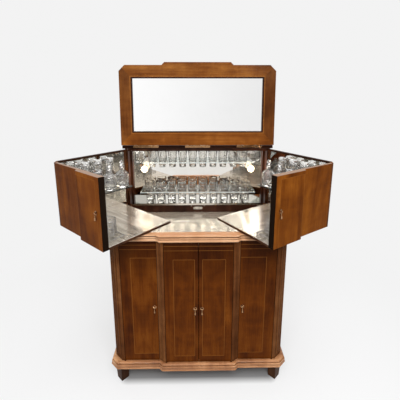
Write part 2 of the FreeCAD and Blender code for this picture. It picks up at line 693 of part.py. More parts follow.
def makeGlassRows():
    """Two glass shelves bored for a row of tumblers each, on brackets from the back."""
    rowDepth = (hingeLine + mirrorFace) / 2 - shelfEdge / 2
    tall = tumbler("tallTumbler", tallHigh, tallRim, tallBase)
    hung = tumbler("hungTumbler", hungHigh, hungRim, hungBase)
    lowTop = ledgeTop + lowShelfRise + glassThick
    highTop = ledgeTop + highShelfRise + glassThick
    tallAt = tallBase + (tallRim - tallBase) * (lowShelfRise + glassThick) / tallHigh
    hungAt = hungBase + (hungRim - hungBase) * hungDrop / hungHigh
    rows = [("low", lowTop, lowShelfHalf, rowPitchLow, tallAt, tall, ledgeTop + glassClear),
            ("high", highTop, highShelfHalf, rowPitchHigh, hungAt, hung, highTop - hungDrop)]
    shelves, glasses = [], []
    for name, top, half, pitch, radius, glass, seat in rows:
        plate = box(name + "ShelfPlate", (-half, half), (hingeLine + shelfEdge, mirrorFace - shelfEdge),
                    (top - glassThick, top))
        holes = [rod(f"{name}Hole{n}", "Z", radius + glassClear, glassThick * 3, x, rowDepth,
                     top - glassThick * 2) for n, x in enumerate(rowPlaces(half, pitch))]
        shelves.append(cut(name + "Shelf", plate, holes))
        glasses += [copy(f"{name}Glass{n}", glass, x, rowDepth, seat)
                    for n, x in enumerate(rowPlaces(half, pitch))]
    subPart("glass_shelves", carcass, shelves)
    subPart("back_row_glasses", carcass, glasses)
    return (lowTop - glassThick, rowPitchLow), (highTop - glassThick, rowPitchHigh)


def makeBrackets(shelves):
    """Round arms that stand out of the back mirror between the glasses, under both glass shelves."""
    brackets = []
    for level, (under, pitch) in enumerate(shelves):
        for place in (-1, 0, 1):
            name = f"bracket{level}{place + 1}"
            x = pitch * (bracketEvery * place)
            z = under - bracketRadius
            long = mirrorFace - hingeLine - shelfEdge * 3
            arm = rod(name + "Arm", "Y", bracketRadius, long, x, mirrorFace - long, z)
            plate = rod(name + "Plate", "Y", bracketPlate, bracketFlange, x,
                        mirrorFace - bracketFlange, z - bracketPlate / 2)
            brackets.append(fuse(name, [arm, plate]))
    subPart("shelf_brackets", carcass, brackets)


def makeLamps():
    """Two small globe lamps on holders that stand out of the mirror."""
    neck = Size(math.sqrt(bulbRadius.number ** 2 - bulbNeck.number ** 2),
                f"sqrt({bulbRadius.text}^2 - {bulbNeck.text}^2)")
    globe = turned("bulbTurned", [(0, -bulbRadius, bulbRadius), (bulbNeck, neck),
                                  (bulbNeck, neck + bulbNeck), (0, neck + bulbNeck)])
    z = ledgeTop + lampRise
    tip = mirrorFace - holderLong
    bulbs, holders = [], []
    for side in (-1, 1):
        hand = sideNames[side]
        x = lampAt * side
        bulbs.append(copy(hand + "Bulb", globe, x, tip - neck - bulbNeck, z, Rotation(Vector(1, 0, 0), -90)))
        collar = rod(hand + "HolderBody", "Y", holderRadius, holderLong, x, tip, z)
        plate = rod(hand + "HolderPlate", "Y", holderRadius * 1.4, bracketFlange, x,
                    mirrorFace - bracketFlange, z)
        holders.append(fuse(hand + "Holder", [collar, plate]))
    subPart("lamp_bulbs", carcass, bulbs)
    subPart("lamp_holders", carcass, holders)


# ---------------------------------------------------------------- pulls

def makePullParts():
    """One pull about its pivot: a plate with two lugs and the pivot wire, and the drop that hangs on it."""
    plate = rod("pullPlate", "Y", plateRadius, plateThick, 0, pivotOut - plateThick, 0)
    lugs = []
    for side in (-1, 1):
        name = f"pullLug{side + 1}"
        span = mirrored(side, lugHalf - lugThick, lugHalf)
        lugs.append(box(name + "Arm", span, (0, pivotOut - plateThick), (-lugRadius, lugRadius)))
        lugs.append(rod(name + "Eye", "X", lugRadius, lugThick, span[0], 0, 0))
    pivot = rod("pullPivot", "X", pivotRadius, lugHalf * 2, -lugHalf, 0, 0)
    fitting = fuse("pullFitting", [plate, pivot] + lugs)
    eyeLong = (lugHalf - lugThick) * 2 - knuckleSlot * 2
    eye = rod("dropEye", "X", eyeRadius, eyeLong, -eyeLong / 2, 0, 0)
    widest = dropRadius - dropLong
    pear = turned("dropPear", [(0, -dropLong), (dropRadius * diagonal, -dropLong + dropRadius * 0.3),
                               (dropRadius, widest), (dropRadius * 0.8, widest + dropRadius),
                               (dropNeck, widest + dropRadius * 3), (dropNeck, -eyeRadius / 2),
                               (0, -eyeRadius / 2)])
    bore = rod("dropBore", "X", pivotRadius + pinClear, eyeLong * 2, -eyeLong, 0, 0)
    drop = cut("pullDrop", fuse("dropSolid", [eye, pear]), [bore])
    return fitting, drop


# ---------------------------------------------------------------- doors

def makeDoors(pull, lowerPivot, upperPivot):
    """Four flush doors, each turning on pivot plates in the gaps above and below it, with their pulls."""
    fitting, drop = pull
    meet = meetGap / 2
    doors = [("left_side_door", -1, postInner, pilasterOuter + doorGap, 0),
             ("left_middle_door", -1, pilasterInner, meet, -breakOut),
             ("right_middle_door", 1, pilasterInner, meet, -breakOut),
             ("right_side_door", 1, postInner, pilasterOuter + doorGap, 0)]
    fixedPlates = []
    for label, side, hingeEdge, freeEdge, front in doors:
        front = asSize(front)
        low, high = mirrored(side, freeEdge, hingeEdge - hingeSlit)
        board = box(label + "Board", (low, high), (front, front + doorThick), (doorBottom, doorTop))
        subPart(label, carcass, [board])
        axisX = (hingeEdge - hingeSlit / 2) * side
        axisY = front - axisOut
        flip = Rotation(Vector(0, 1, 0), 180) if side > 0 else Rotation()
        below, above = (lowerPivot, upperPivot) if side < 0 else (upperPivot, lowerPivot)
        metal = []
        for name, (fixed, moving), z in (("Lower", below, baseTop), ("Upper", above, counterUnder)):
            fixedPlates.append(copy(f"{label}{name}Fixed", fixed, axisX, axisY, z, flip))
            metal.append(copy(f"{label}{name}Moving", moving, axisX, axisY, z, flip))
        pullX = (freeEdge + doorPullInset) * side
        metal.append(copy(label + "Plate", fitting, pullX, front - pivotOut, pullHeight))
        subPart(label + "_brasses", carcass, metal)
        subPart(label + "_pull", carcass, [copy(label + "Drop", drop, pullX, front - pivotOut, pullHeight)])
    return fixedPlates


# ---------------------------------------------------------------- bar units

def makeDecanter():
    """A round decanter with its stopper, turned as one closed piece standing on Z = 0."""
    neck = [(1, 0.78), (1, 0.965), (1.33, 1), (0.5, 1), (0.5, 1.045)]
    shoulder = decanterHigh * 0.55
    tip = decanterHigh + stopperHigh
    return turned("decanter", [(0, 0), (decanterRadius * 0.8, 0), (decanterRadius, decanterHigh * 0.107),
                               (decanterRadius, shoulder, decanterRadius)]
                  + scaled(neck, decanterNeck, decanterHigh)
                  + [(stopperRadius * 0.6, decanterHigh * 1.045),
                     (stopperRadius, decanterHigh + stopperHigh * 0.6, stopperRadius * 1.1),
                     (stopperRadius * 0.23, tip), (0, tip)])


def makeCage(side):
    """A wire cage for a bottle: square base on four feet, a cross in it, four posts and rings round them."""
    hand = sideNames[side]
    near, far = mirrored(side, cageEdge, cageEdge + cageBase)
    front = unitFront + liningThick + cageFront
    back = front + cageBase
    level = deckTop + cageLift
    middleX = (near + far) / 2
    middleY = (front + back) / 2
    stand = cageRail * 1.2
    wires = [rod(f"{hand}CageRailX{n}", "X", cageRail, cageBase, near, y, level)
             for n, y in enumerate((front, back))]
    wires += [rod(f"{hand}CageRailY{n}", "Y", cageRail * 0.91, cageBase, x, front, level)
              for n, x in enumerate((near, far))]
    wires.append(rod(hand + "CageCrossX", "X", cageRail * 0.82, cageBase, near, middleY, level))
    wires.append(rod(hand + "CageCrossY", "Y", cageRail * 0.73, cageBase, middleX, front, level))
    for n, (x, y) in enumerate(((near, front), (far, front), (near, back), (far, back))):
        wires.append(rod(f"{hand}CageFoot{n}", "Z", cageRail * 1.45, cageLift + stand, x, y, deckTop))
    spots = ((middleX - cageRadius, middleY), (middleX + cageRadius, middleY),
             (middleX, middleY - cageRadius), (middleX, middleY + cageRadius))
    for n, (x, y) in enumerate(spots):
        wires.append(rod(f"{hand}CagePost{n}", "Z", cageRail * 1.09, ringPitch * ringCount + stand * 2,
                         x, y, level - stand))
    for n in range(ringCount):
        ring = doc.addObject("Part::Torus", f"{hand}CageRing{n}")
        ring.Placement = Placement(Vector(), Rotation(Vector(0, 0, 1), 45))
        bind(ring, "Radius1", cageRadius)
        bind(ring, "Radius2", cageRail * 0.77)
        move(ring, middleX, middleY, level + ringPitch * (n + 1))
        wires.append(ring)
    return fuse(hand + "Cage", wires)


def makeUnit(side, glass, decanter, pull, pianoHinge):
    """One swinging bar unit: side, post, front and deck, with linings, shelf, cage and glassware."""
    hand = sideNames[side]
    frame = frames[side]
    fitting, drop = pull
    fixedLeaf, pin, movingLeaf = pianoHinge
    sideInner = barHalf - unitSide
    postEdge = barHalf - barCant - unitStub

    def across(corners):
        return [(asSize(x) * side, asSize(y)) for x, y in corners]

    board = box(hand + "UnitSideBoard", mirrored(side, sideInner, barHalf), (barCant, unitBack),
                (unitBottom, unitTop))
    subPart(hand + "_unit_side", frame, [board])
    post = prism(hand + "UnitPostSolid", across([(barHalf, barCant), (barHalf - barCant, 0), (postEdge, 0),
                                                 (postEdge, unitFront), (sideInner, barCant)]),
                 unitBottom, unitTop)
    subPart(hand + "_unit_post", frame, [post])
    front = prism(hand + "UnitFrontSolid",
                  across([(postEdge, 0), (breakHalf + breakOut, 0), (breakHalf, -breakOut),
                          (meetHalf, -breakOut), (meetHalf, unitFront), (postEdge, unitFront)]),
                  unitBottom, unitTop)
    subPart(hand + "_unit_front", frame, [front])
    deckPlan = across([(meetHalf, unitFront), (postEdge, unitFront), (sideInner, barCant),
                       (sideInner, deckBack), (meetHalf, deckBack)])
    deck = prism(hand + "DeckBoard", deckPlan, unitBottom, unitBottom + deckThick)
    subPart(hand + "_unit_deck", frame, [deck])

    lining = (deckTop, unitTop - liningRim)
    liningNear = sideInner - liningThick
    deckGlass = prism(hand + "DeckGlass", deckPlan, deckTop - liningThick, deckTop)
    sideGlass = box(hand + "SideGlass", mirrored(side, liningNear, sideInner),
                    (barCant + liningThick, unitBack - liningBack), lining)
    frontGlass = box(hand + "FrontGlass", mirrored(side, meetHalf + liningRim, postEdge - liningThick),
                     (unitFront, unitFront + liningThick), lining)
    subPart(hand + "_unit_mirrors", frame, [deckGlass, sideGlass, frontGlass])

    shelfUnder = deckTop + sideShelfRise
    shelf = box(hand + "ShelfGlass", mirrored(side, liningNear - sideShelfDeep, liningNear),
                (barCant + liningThick, sideShelfBack), (shelfUnder, shelfUnder + glassThick))
    subPart(hand + "_unit_shelf", frame, [shelf])
    subPart(hand + "_unit_rack", frame, [makeCage(side)])
    studSpan = mirrored(side, liningNear - studLong, liningNear)
    studs = [rod(f"{hand}ShelfStud{index}", "X", bracketRadius, studLong, studSpan[0], y,
                 shelfUnder - bracketRadius)
             for index, y in enumerate((barCant + studInset, sideShelfBack - studInset))]

    seat = shelfUnder + glassThick + glassClear
    glassware = []
    frontRow = liningNear - sideShelfDeep + decanterRadius + glassClear
    backRow = liningNear - shortRim - glassClear * 4
    step = decanterRadius * 2 + glassSpace
    stand = seat + shortHigh
    over = Rotation(Vector(1, 0, 0), 180)
    for index in range(2):
        glassware.append(copy(f"{hand}Decanter{index}", decanter, frontRow * side,
                              sideShelfBack - decanterRadius - glassSpace / 2 - step * index, seat))
    for index in range(3):
        glassware.append(copy(f"{hand}BackGlass{index}", glass, backRow * side,
                              sideShelfBack - shortRim - glassSpace - step * index, stand, over))
    for index in range(2):
        y = sideShelfBack - step * 2 - shortRim - (shortRim * 2 + glassSpace * 1.5) * index - glassSpace / 2
        glassware.append(copy(f"{hand}NearGlass{index}", glass, (frontRow - glassSpace / 2) * side, y, stand,
                              over))
    subPart(hand + "_unit_glassware", frame, glassware)

    flip = Rotation(Vector(0, 1, 0), 180) if side > 0 else Rotation()
    pianoLong = unitTop - unitBottom - pianoMargin * 2
    z = unitBottom + pianoMargin + (pianoLong if side > 0 else asSize(0))
    lay = Rotation(Vector(0, 0, 1), 90 * side)
    axisX = unitAxisX * side
    metal = studs + [copy(hand + "PianoMoving", movingLeaf, axisX, hingeLine, z, lay * flip)]
    pullX = (meetHalf + unitPullInset) * side
    metal.append(copy(hand + "UnitPlate", fitting, pullX, -breakOut - pivotOut, unitPullHeight))
    subPart(hand + "_unit_brasses", frame, metal)
    subPart(hand + "_unit_pull", frame, [copy(hand + "UnitDrop", drop, pullX, -breakOut - pivotOut,
                                              unitPullHeight)])
    return [copy(hand + "PianoFixed", fixedLeaf, axisX, hingeLine, z, lay * flip),
            copy(hand + "PianoPin", pin, axisX, hingeLine, z, lay * flip)]


# ---------------------------------------------------------------- lid

def makeLid(fixedLeaf, pin, movingLeaf):
    """The lid follows the bar's plan, with a beaded mirror let into its underside."""
    back = lidLine - hingeSlit / 2
    slab = prism("lidSlab", planCorners(barHalf, barCant, topOut, back), topUnder, barTop)
    far = lidLine - lidMirrorBack
    near = far - lidMirrorDeep
    opening = ((-lidMirrorHalf, lidMirrorHalf), (near, far))
    recess = box("lidRecessBox", *opening, (topUnder, topUnder + lidRecess + mirrorThick))
    subPart("lid_board", lidFrame, [cut("lidBoardSolid", slab, [recess])])
    mirror = box("lidGlass", *opening, (topUnder + lidRecess, topUnder + lidRecess + mirrorThick))
    subPart("lid_mirror", lidFrame, [mirror])
    outer = box("lidBeadOuter", *opening, (topUnder, topUnder + lidRecess))
    inner = box("lidBeadInner", (-lidMirrorHalf + lidBead, lidMirrorHalf - lidBead),
                (near + lidBead, far - lidBead), (topUnder - lidRecess, topUnder + lidRecess * 2))
    subPart("lid_bead", lidFrame, [cut("lidBeadRing", outer, [inner])])
    lay = Rotation(Vector(0, 1, 0), 90) * Rotation(Vector(0, 0, 1), -90)
    moving, fixed = [], []
    for place in (-1, 0, 1):
        x = lidHingeAt * place - lidHinge / 2
        name = f"lidHinge{place + 1}"
        moving.append(copy(name + "Moving", movingLeaf, x, lidLine, lidAxisZ, lay))
        fixed.append(copy(name + "Fixed", fixedLeaf, x, lidLine, lidAxisZ, lay))
        fixed.append(copy(name + "Pin", pin, x, lidLine, lidAxisZ, lay))
    subPart("lid_hinge_leaves", lidFrame, moving)
    return fixed


# ---------------------------------------------------------------- assembly

makeFeet()
makeBase()
makeUprights()
makeCupboardInside()
makeCounter()
makeBackSection()
makeBrackets(makeGlassRows())
makeLamps()
pullParts = makePullParts()
doorPlates = makeDoors(pullParts, pivotPair("lowerPivot", True), pivotPair("upperPivot", False))
shortTumbler = tumbler("shortTumbler", shortHigh, shortRim, shortBase)
decanterBody = makeDecanter()
pianoPair = hinge("pianoPair", unitTop - unitBottom - pianoMargin * 2, 11)
pianoLeaves = []
for handSide in (-1, 1):
    pianoLeaves += makeUnit(handSide, shortTumbler, decanterBody, pullParts, pianoPair)
lidLeaves = makeLid(*hinge("lidHingePair", lidHinge, 5))
subPart("fixed_hinge_leaves", carcass, doorPlates + pianoLeaves + lidLeaves)
doc.recompute()

def findFaults():
    """Names of the objects that failed to compute and of the sub-parts without a sound shape."""
    found = [f"{obj.Name}: {obj.State}" for obj in doc.Objects
             if "Invalid" in obj.State or "Error" in obj.State]
    for part in subParts:
        if part.Shape.isNull() or not part.Shape.isValid() or not part.Shape.Solids:
            found.append(f"{part.Label}: no valid shape")
    return found


def stopOnFaults():
    faults = findFaults()
    if faults:
        raise SystemExit("\n".join(faults))


stopOnFaults()

# the origin is the bottom centre of the box round the open cabinet
bounds = FreeCAD.BoundBox()
for part in subParts:
    bounds.add(part.Shape.optimalBoundingBox(False, False))
sheet.set(sheet.getCellFromAlias("originX"), str(round(-bounds.Center.x, 4)))
sheet.set(sheet.getCellFromAlias("originY"), str(round(-bounds.Center.y, 4)))
doc.recompute()

stopOnFaults()
os.makedirs("parts", exist_ok=True)
for part in subParts:
    part.Shape.exportStep(f"parts/{part.Label}.step")
solidCount = sum(len(part.Shape.Solids) for part in subParts)
print(f"{len(subParts)} sub-parts, {solidCount} solids, open pose {bounds.XLength:.1f} x {bounds.YLength:.1f}"
      f" x {bounds.ZLength:.1f} mm, origin moved by {-bounds.Center.x:.3f}, {-bounds.Center.y:.3f}")
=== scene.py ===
# Walnut bar cabinet: two swinging bar units, a folding mirror lid and a lit, glass-lined back section.
import json
from math import radians

import bpy
import numpy as np
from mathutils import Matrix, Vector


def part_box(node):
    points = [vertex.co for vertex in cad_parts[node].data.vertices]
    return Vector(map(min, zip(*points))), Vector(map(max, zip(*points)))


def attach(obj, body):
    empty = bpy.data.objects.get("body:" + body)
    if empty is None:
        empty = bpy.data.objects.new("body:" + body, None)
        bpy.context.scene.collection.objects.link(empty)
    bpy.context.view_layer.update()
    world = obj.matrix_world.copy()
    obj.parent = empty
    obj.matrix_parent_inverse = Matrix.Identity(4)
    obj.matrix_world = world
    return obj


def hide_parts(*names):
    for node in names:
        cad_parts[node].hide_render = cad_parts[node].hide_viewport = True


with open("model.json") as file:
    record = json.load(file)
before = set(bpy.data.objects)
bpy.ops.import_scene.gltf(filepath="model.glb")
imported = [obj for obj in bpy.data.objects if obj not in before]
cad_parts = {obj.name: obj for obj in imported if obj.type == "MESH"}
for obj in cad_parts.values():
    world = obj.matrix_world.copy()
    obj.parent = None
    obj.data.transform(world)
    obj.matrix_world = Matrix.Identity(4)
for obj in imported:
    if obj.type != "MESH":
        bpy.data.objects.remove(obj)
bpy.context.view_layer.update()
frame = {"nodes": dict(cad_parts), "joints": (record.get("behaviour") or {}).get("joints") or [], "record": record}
nodes = frame["nodes"]
joints = {joint["name"]: joint for joint in frame["joints"]}
print("frame loaded:", len(nodes), "nodes")

# Everything is placed in the shut cabinet's own frame: X from its middle, Y from the front of its
# side doors, Z from the floor. A carrier turns it with the unit or lid to the way the cabinet stands.
shutOrigin = np.array([sum(corner.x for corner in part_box("base_moulding")) / 2,
                       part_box("left_side_door")[0].y, 0.0])


def turnMatrix(axis, angle):
    # A turn about Z or X: its plane's two axes become (cos, sin) and (-sin, cos).
    c, s = np.cos(angle), np.sin(angle)
    if axis == "z":
        return np.array([[c, -s, 0], [s, c, 0], [0, 0, 1]])
    return np.array([[1, 0, 0], [0, c, -s], [0, s, c]])


class Carrier:
    # A body that stands open by an angle about its hinge: points = pivot + turn (shut points - pivot).

    def __init__(self, body, axis="z", angle=0.0, pivot=(0, 0, 0)):
        self.body, self.axis, self.angle = body, axis, angle
        self.pivot = np.array(pivot, float)
        self.turn = turnMatrix(axis, angle)

    def carry(self, points):
        return self.pivot + (np.asarray(points) + shutOrigin - self.pivot) @ self.turn.T

    def undo(self):
        # Turn and shift that carry object coordinates back to the shut cabinet's frame.
        shift = self.pivot - self.turn.T @ self.pivot - shutOrigin
        turn = (0, 0, -self.angle) if self.axis == "z" else (-self.angle, 0, 0)
        return turn, tuple(shift)


def carrierOf(body, jointName, axis):
    # The joint's upper limit is the shut state, so the body stands open by minus that angle.
    joint = joints[jointName]
    sign = sum(joint["axis"])
    return Carrier(body, axis, -radians(joint["range_deg"][1]) * sign, joint["pos_m"])


cabinet = Carrier("cabinet")
leftUnit = carrierOf("left_unit", "left_unit_swing", "z")
rightUnit = carrierOf("right_unit", "right_unit_swing", "z")
lid = carrierOf("lid", "lid_fold", "x")


def feed(tree, socket, value):
    # Links a socket, or sets a plain value; a colour of three numbers gets its alpha.
    if isinstance(value, bpy.types.NodeSocket):
        tree.links.new(value, socket)
    elif isinstance(value, tuple) and len(value) == 3 and socket.type == "RGBA":
        socket.default_value = (*value, 1.0)
    else:
        socket.default_value = value


def addNode(tree, kind, inputs=None, **settings):
    node = tree.nodes.new("ShaderNode" + kind)
    for key, value in settings.items():
        setattr(node, key, value)
    for key, value in (inputs or {}).items():
        feed(tree, node.inputs[key], value)
    return node


class Finish:
    # One material on a Principled shader, with short calls that add and join its nodes.

    def __init__(self, name, carrier=None, **values):
        self.material = bpy.data.materials.new(name)
        self.material.use_nodes = True
        self.tree = self.material.node_tree
        self.shader = self.tree.nodes["Principled BSDF"]
        self.carrier = carrier
        for socket, value in values.items():
            self.lay(socket, value)

    def lay(self, socket, value):
        feed(self.tree, self.shader.inputs[socket], value)

    def add(self, kind, inputs=None, **settings):
        return addNode(self.tree, kind, inputs, **settings)

    def place(self, turn=(0, 0, 0), stretch=(1, 1, 1), shift=(0, 0, 0), source=None):
        source = source or self.shutPlace()
        mapping = self.add("Mapping", {"Vector": source, "Location": shift, "Rotation": turn,
                                       "Scale": stretch})
        return mapping.outputs["Vector"]

    def shutPlace(self):
        # Object coordinates carried back to the shut cabinet's frame.
        source = self.add("TexCoord").outputs["Object"]
        turn, shift = self.carrier.undo() if self.carrier else ((0, 0, 0), tuple(-shutOrigin))
        return self.place(turn=turn, shift=shift, source=source)

    def seeded(self, seed, source):
        # Another cut of the same timber: the pattern shifted by (1, 0.7, 0.3) times the seed.
        return self.place(shift=(seed, 0.7 * seed, 0.3 * seed), source=source)

    def inward(self, side):
        # 1 on faces that look up, down or into a bar unit, 0 on its outside: -Y, and X off the middle.
        turn = self.carrier.undo()[0]
        flat = self.add("TexCoord").outputs["Normal"]
        normal = self.add("Mapping", {"Vector": flat, "Rotation": turn}, vector_type="VECTOR")
        x, y, z = self.parts(normal.outputs["Vector"])
        outward = self.math("MAXIMUM", self.math("MULTIPLY", x, side), self.math("MULTIPLY", y, -1.0))
        return self.span(outward, 0.2, 0.3, 1.0, 0.0)

    def parts(self, vector):
        node = self.add("SeparateXYZ", {"Vector": vector})
        return node.outputs[0], node.outputs[1], node.outputs[2]

    def joined(self, x, y, z):
        return self.add("CombineXYZ", {"X": x, "Y": y, "Z": z}).outputs[0]

    def noise(self, vector, detail=2.0, rough=0.5, distortion=0.0):
        node = self.add("TexNoise", {"Vector": vector, "Scale": 1.0, "Detail": detail,
                                     "Roughness": rough, "Distortion": distortion})
        return node.outputs["Fac"]

    def math(self, operation, a, b=0.0):
        return self.add("Math", {0: a, 1: b}, operation=operation).outputs[0]

    def length(self, vector):
        return self.add("VectorMath", {0: vector}, operation="LENGTH").outputs["Value"]

    def span(self, value, low, high, toLow=0.0, toHigh=1.0):
        # value carried from low..high to toLow..toHigh, held at the ends
        node = self.add("MapRange", {"Value": value, "From Min": low, "From Max": high,
                                     "To Min": toLow, "To Max": toHigh})
        return node.outputs["Result"]

    def near(self, value, at, half, soft=0.0003):
        # 1 where value is within half of at, fading over soft
        away = self.math("ABSOLUTE", self.math("SUBTRACT", value, at))
        return self.span(away, half, half + soft, 1.0, 0.0)

    def beyond(self, value, low, high):
        # How far value lies outside low..high, below zero inside: |value - middle| - half the range.
        away = self.math("ABSOLUTE", self.math("SUBTRACT", value, (low + high) / 2))
        return self.math("SUBTRACT", away, (high - low) / 2)

    def mix(self, factor, a, b, blend="MIX"):
        node = self.add("Mix", data_type="RGBA", blend_type=blend)
        for key, value in ((0, factor), (6, a), (7, b)):
            feed(self.tree, node.inputs[key], value)
        return node.outputs[2]

    def ramp(self, value, stops):
        node = self.add("ValToRGB", {"Fac": value})
        elements = node.color_ramp.elements
        while len(elements) < len(stops):
            elements.new(0.5)
        for element, (position, colour) in zip(elements, stops):
            element.position = position
            element.color = (*colour, 1.0)
        return node.outputs["Color"]

    def bump(self, height, distance, normal=None):
        node = self.add("Bump", {"Height": height, "Distance": distance})
        if normal:
            feed(self.tree, node.inputs["Normal"], normal)
        self.lay("Normal", node.outputs["Normal"])

    def softEdge(self, radius):
        # A normal rounded off at the edges, and how far it turns from the true one: |rounded x true|.
        rounded = self.add("Bevel", {"Radius": radius}, samples=4).outputs["Normal"]
        true = self.add("NewGeometry").outputs["Normal"]
        cross = self.add("VectorMath", {0: rounded, 1: true}, operation="CROSS_PRODUCT")
        return rounded, self.length(cross.outputs["Vector"])


grainTurn = {"x": (0, radians(90), 0), "y": (radians(90), 0, 0), "z": (0, 0, 0)}

walnutLook = {
    "figureStretch": (7.0, 7.0, 0.8),       # slow bands per metre across and along the grain
    "cloudStretch": (9.0, 9.0, 5.0),        # soft light and dark patches
    "streakStretch": (170.0, 170.0, 6.0),   # fine streaks
    "rippleStretch": (6.0, 6.0, 21.0),      # faint bars across the grain
    "poreStretch": (900.0, 900.0, 42.0),    # short open pores
    "figureShare": 0.45,
    "cloudShare": 0.38,
    "streakShare": 0.17,
    "stops": (0.37, 0.50, 0.64),     # where the deep, body and pale tones stand
    "poreRange": (0.60, 0.70),
    "poreDark": 0.5,
    "poreDepth": 0.00006,
    "rough": (0.34, 0.48),
    "shine": 0.03,
    "coatRough": 0.22,
    "edgeRadius": 0.0010,
    "edgeRange": (0.12, 0.60),
    "edgeWearAndHighlight": 0.34,                # how strongly an edge pales: rubbed wear and a painted highlight
    "edgeTint": (1.9, 2.1, 2.6),
    "hollow": 0.014,                 # reach of the painted shade in hollows
    "hollowRange": (0.35, 0.92),
    "hollowShadeDepth": 0.62,
    "hollowTint": (0.30, 0.25, 0.21),
}

# deep, body and pale tone of each wood
tones = {
    "door": ((0.050, 0.0105, 0.0010), (0.118, 0.0285, 0.0022), (0.195, 0.0560, 0.0058)),
    "doorBand": ((0.046, 0.0095, 0.0009), (0.106, 0.0250, 0.0020), (0.180, 0.0500, 0.0052)),
    "case": ((0.050, 0.0140, 0.0030), (0.118, 0.0390, 0.0110), (0.205, 0.0800, 0.0260)),
    "unit": ((0.085, 0.0200, 0.0016), (0.176, 0.0470, 0.0038), (0.290, 0.0920, 0.0095)),
    "lid": ((0.085, 0.0220, 0.0028), (0.170, 0.0510, 0.0072), (0.320, 0.1200, 0.0220)),
    "lidStile": ((0.055, 0.0150, 0.0026), (0.110, 0.0330, 0.0062), (0.190, 0.0660, 0.0140)),
    "reddish": ((0.010, 0.0036, 0.0018), (0.028, 0.0092, 0.0044), (0.056, 0.0190, 0.0090)),
    "inside": ((0.120, 0.0500, 0.0160), (0.250, 0.1200, 0.0440), (0.370, 0.2050, 0.0880)),
    # counter and base: the same walnut made much paler, a painted highlight for the glare on their mouldings
    "counter": ((0.320, 0.1450, 0.0640), (0.600, 0.3150, 0.1600), (0.780, 0.4900, 0.2900)),
    "base": ((0.190, 0.0700, 0.0280), (0.450, 0.2050, 0.0880), (0.690, 0.3850, 0.1950)),
    "foot": ((0.024, 0.0090, 0.0042), (0.056, 0.0220, 0.0100), (0.100, 0.0440, 0.0200)),
}
stringing = (0.340, 0.1300, 0.0260)     # the inlaid line
blackEdge = (0.0120, 0.0070, 0.0045)
# painted highlight along the top edge of a unit front
paintedTopHighlight = (0.230, 0.1520, 0.1080)
# painted shade on the faces inside a bar unit
paintedInsideShade = (0.024, 0.0095, 0.0045)


def woodTone(finish, laid, tone, rippled):
    # Colour: figure, streak and cloud, each a noise stretched along the grain times its share, plus
    # rippled x (ripple - 1/2), through a ramp of three tones. Pores dot the deep tone over it.
    look = walnutLook
    deep, body, pale = tones[tone]

    def grained(pattern, detail, rough, distortion=0.0):
        stretched = finish.place(stretch=look[pattern + "Stretch"], source=laid)
        return finish.noise(stretched, detail, rough, distortion)

    figure = grained("figure", 4.0, 0.55, 1.2)
    cloud = grained("cloud", 3.0, 0.5, 0.6)
    streak = grained("streak", 3.0, 0.6, 0.3)
    ripple = grained("ripple", 2.0, 0.5, 0.8)
    pores = finish.span(grained("pore", 1.0, 0.5), *look["poreRange"])
    height = finish.math("ADD", finish.math("MULTIPLY", figure, look["figureShare"]),
                         finish.math("MULTIPLY", streak, look["streakShare"]))
    height = finish.math("ADD", height, finish.math("MULTIPLY", cloud, look["cloudShare"]))
    bars = finish.math("MULTIPLY", finish.math("SUBTRACT", ripple, 0.5), rippled)
    stops = list(zip(look["stops"], (deep, body, pale)))
    colour = finish.ramp(finish.math("ADD", height, bars), stops)
    return finish.mix(finish.math("MULTIPLY", pores, look["poreDark"]), colour, deep), pores, streak


def polish(finish, colour, pores, streak, coat, black=None):
    # Satin polish with a thin coat over it, the pores sunk a little. An edge pales by how far the
    # rounded normal turns from the true one: rubbed wear and a painted highlight. A hollow gets painted
    # shade by how closed in it is. Where black, there is neither shine nor a pale edge.
    look = walnutLook
    shine = look["shine"]
    rounded, turned = finish.softEdge(look["edgeRadius"])
    # painted highlight and wear: an edge pales where the rounded normal turns from the true one
    rubbed = finish.span(turned, *look["edgeRange"], 0.0, look["edgeWearAndHighlight"])
    if black:
        plain = finish.math("SUBTRACT", 1.0, black)
        rubbed = finish.math("MULTIPLY", rubbed, plain)
        shine = finish.math("MULTIPLY", plain, shine)
    colour = finish.mix(rubbed, colour, finish.mix(1.0, colour, look["edgeTint"], "MULTIPLY"))
    # painted shade: the colour darkens in hollows by how closed in they are
    openness = finish.add("AmbientOcclusion", {"Distance": look["hollow"]}, samples=4).outputs["AO"]
    hollow = finish.span(openness, *look["hollowRange"], look["hollowShadeDepth"], 0.0)
    colour = finish.mix(hollow, colour, finish.mix(1.0, colour, look["hollowTint"], "MULTIPLY"))
    finish.lay("Base Color", colour)
    finish.lay("Roughness", finish.span(streak, 0.3, 0.7, *look["rough"]))
    finish.lay("Specular IOR Level", shine)
    finish.lay("Coat Weight", coat)
    finish.lay("Coat Roughness", look["coatRough"])
    finish.bump(finish.math("SUBTRACT", 1.0, pores), look["poreDepth"], rounded)


def walnut(name, tone, grain="z", seed=0.0, coat=0.05, rippled=0.15, carrier=None, topShade=0.0,
           side=0):
    # Plain walnut. topShade: how much painted shade darkens what faces up. side: -1 or 1 on a bar unit,
    # whose inside gets painted shade.
    finish = Finish(name, carrier)
    laid = finish.place(turn=grainTurn[grain], source=finish.seeded(seed, finish.shutPlace()))
    colour, pores, streak = woodTone(finish, laid, tone, rippled)
    # painted shade on the faces that look up, down or into the bar unit
    if side:
        colour = finish.mix(finish.inward(side), colour, paintedInsideShade)
    # painted shade: faces that look up are darkened towards the deep tone
    if topShade:
        upward = finish.parts(finish.add("NewGeometry").outputs["Normal"])[2]
        colour = finish.mix(finish.span(upward, 0.6, 1.0, 0.0, topShade), colour, tones[tone][0])
    polish(finish, colour, pores, streak, coat)
    return finish.material


# Heights and distances in metres in the shut cabinet's frame.
unitTop, deckTop = 1.206, 0.889

doorShade = {"from": 0.58, "to": 0.835, "depth": 0.78, "tone": (0.022, 0.0045, 0.0004)}

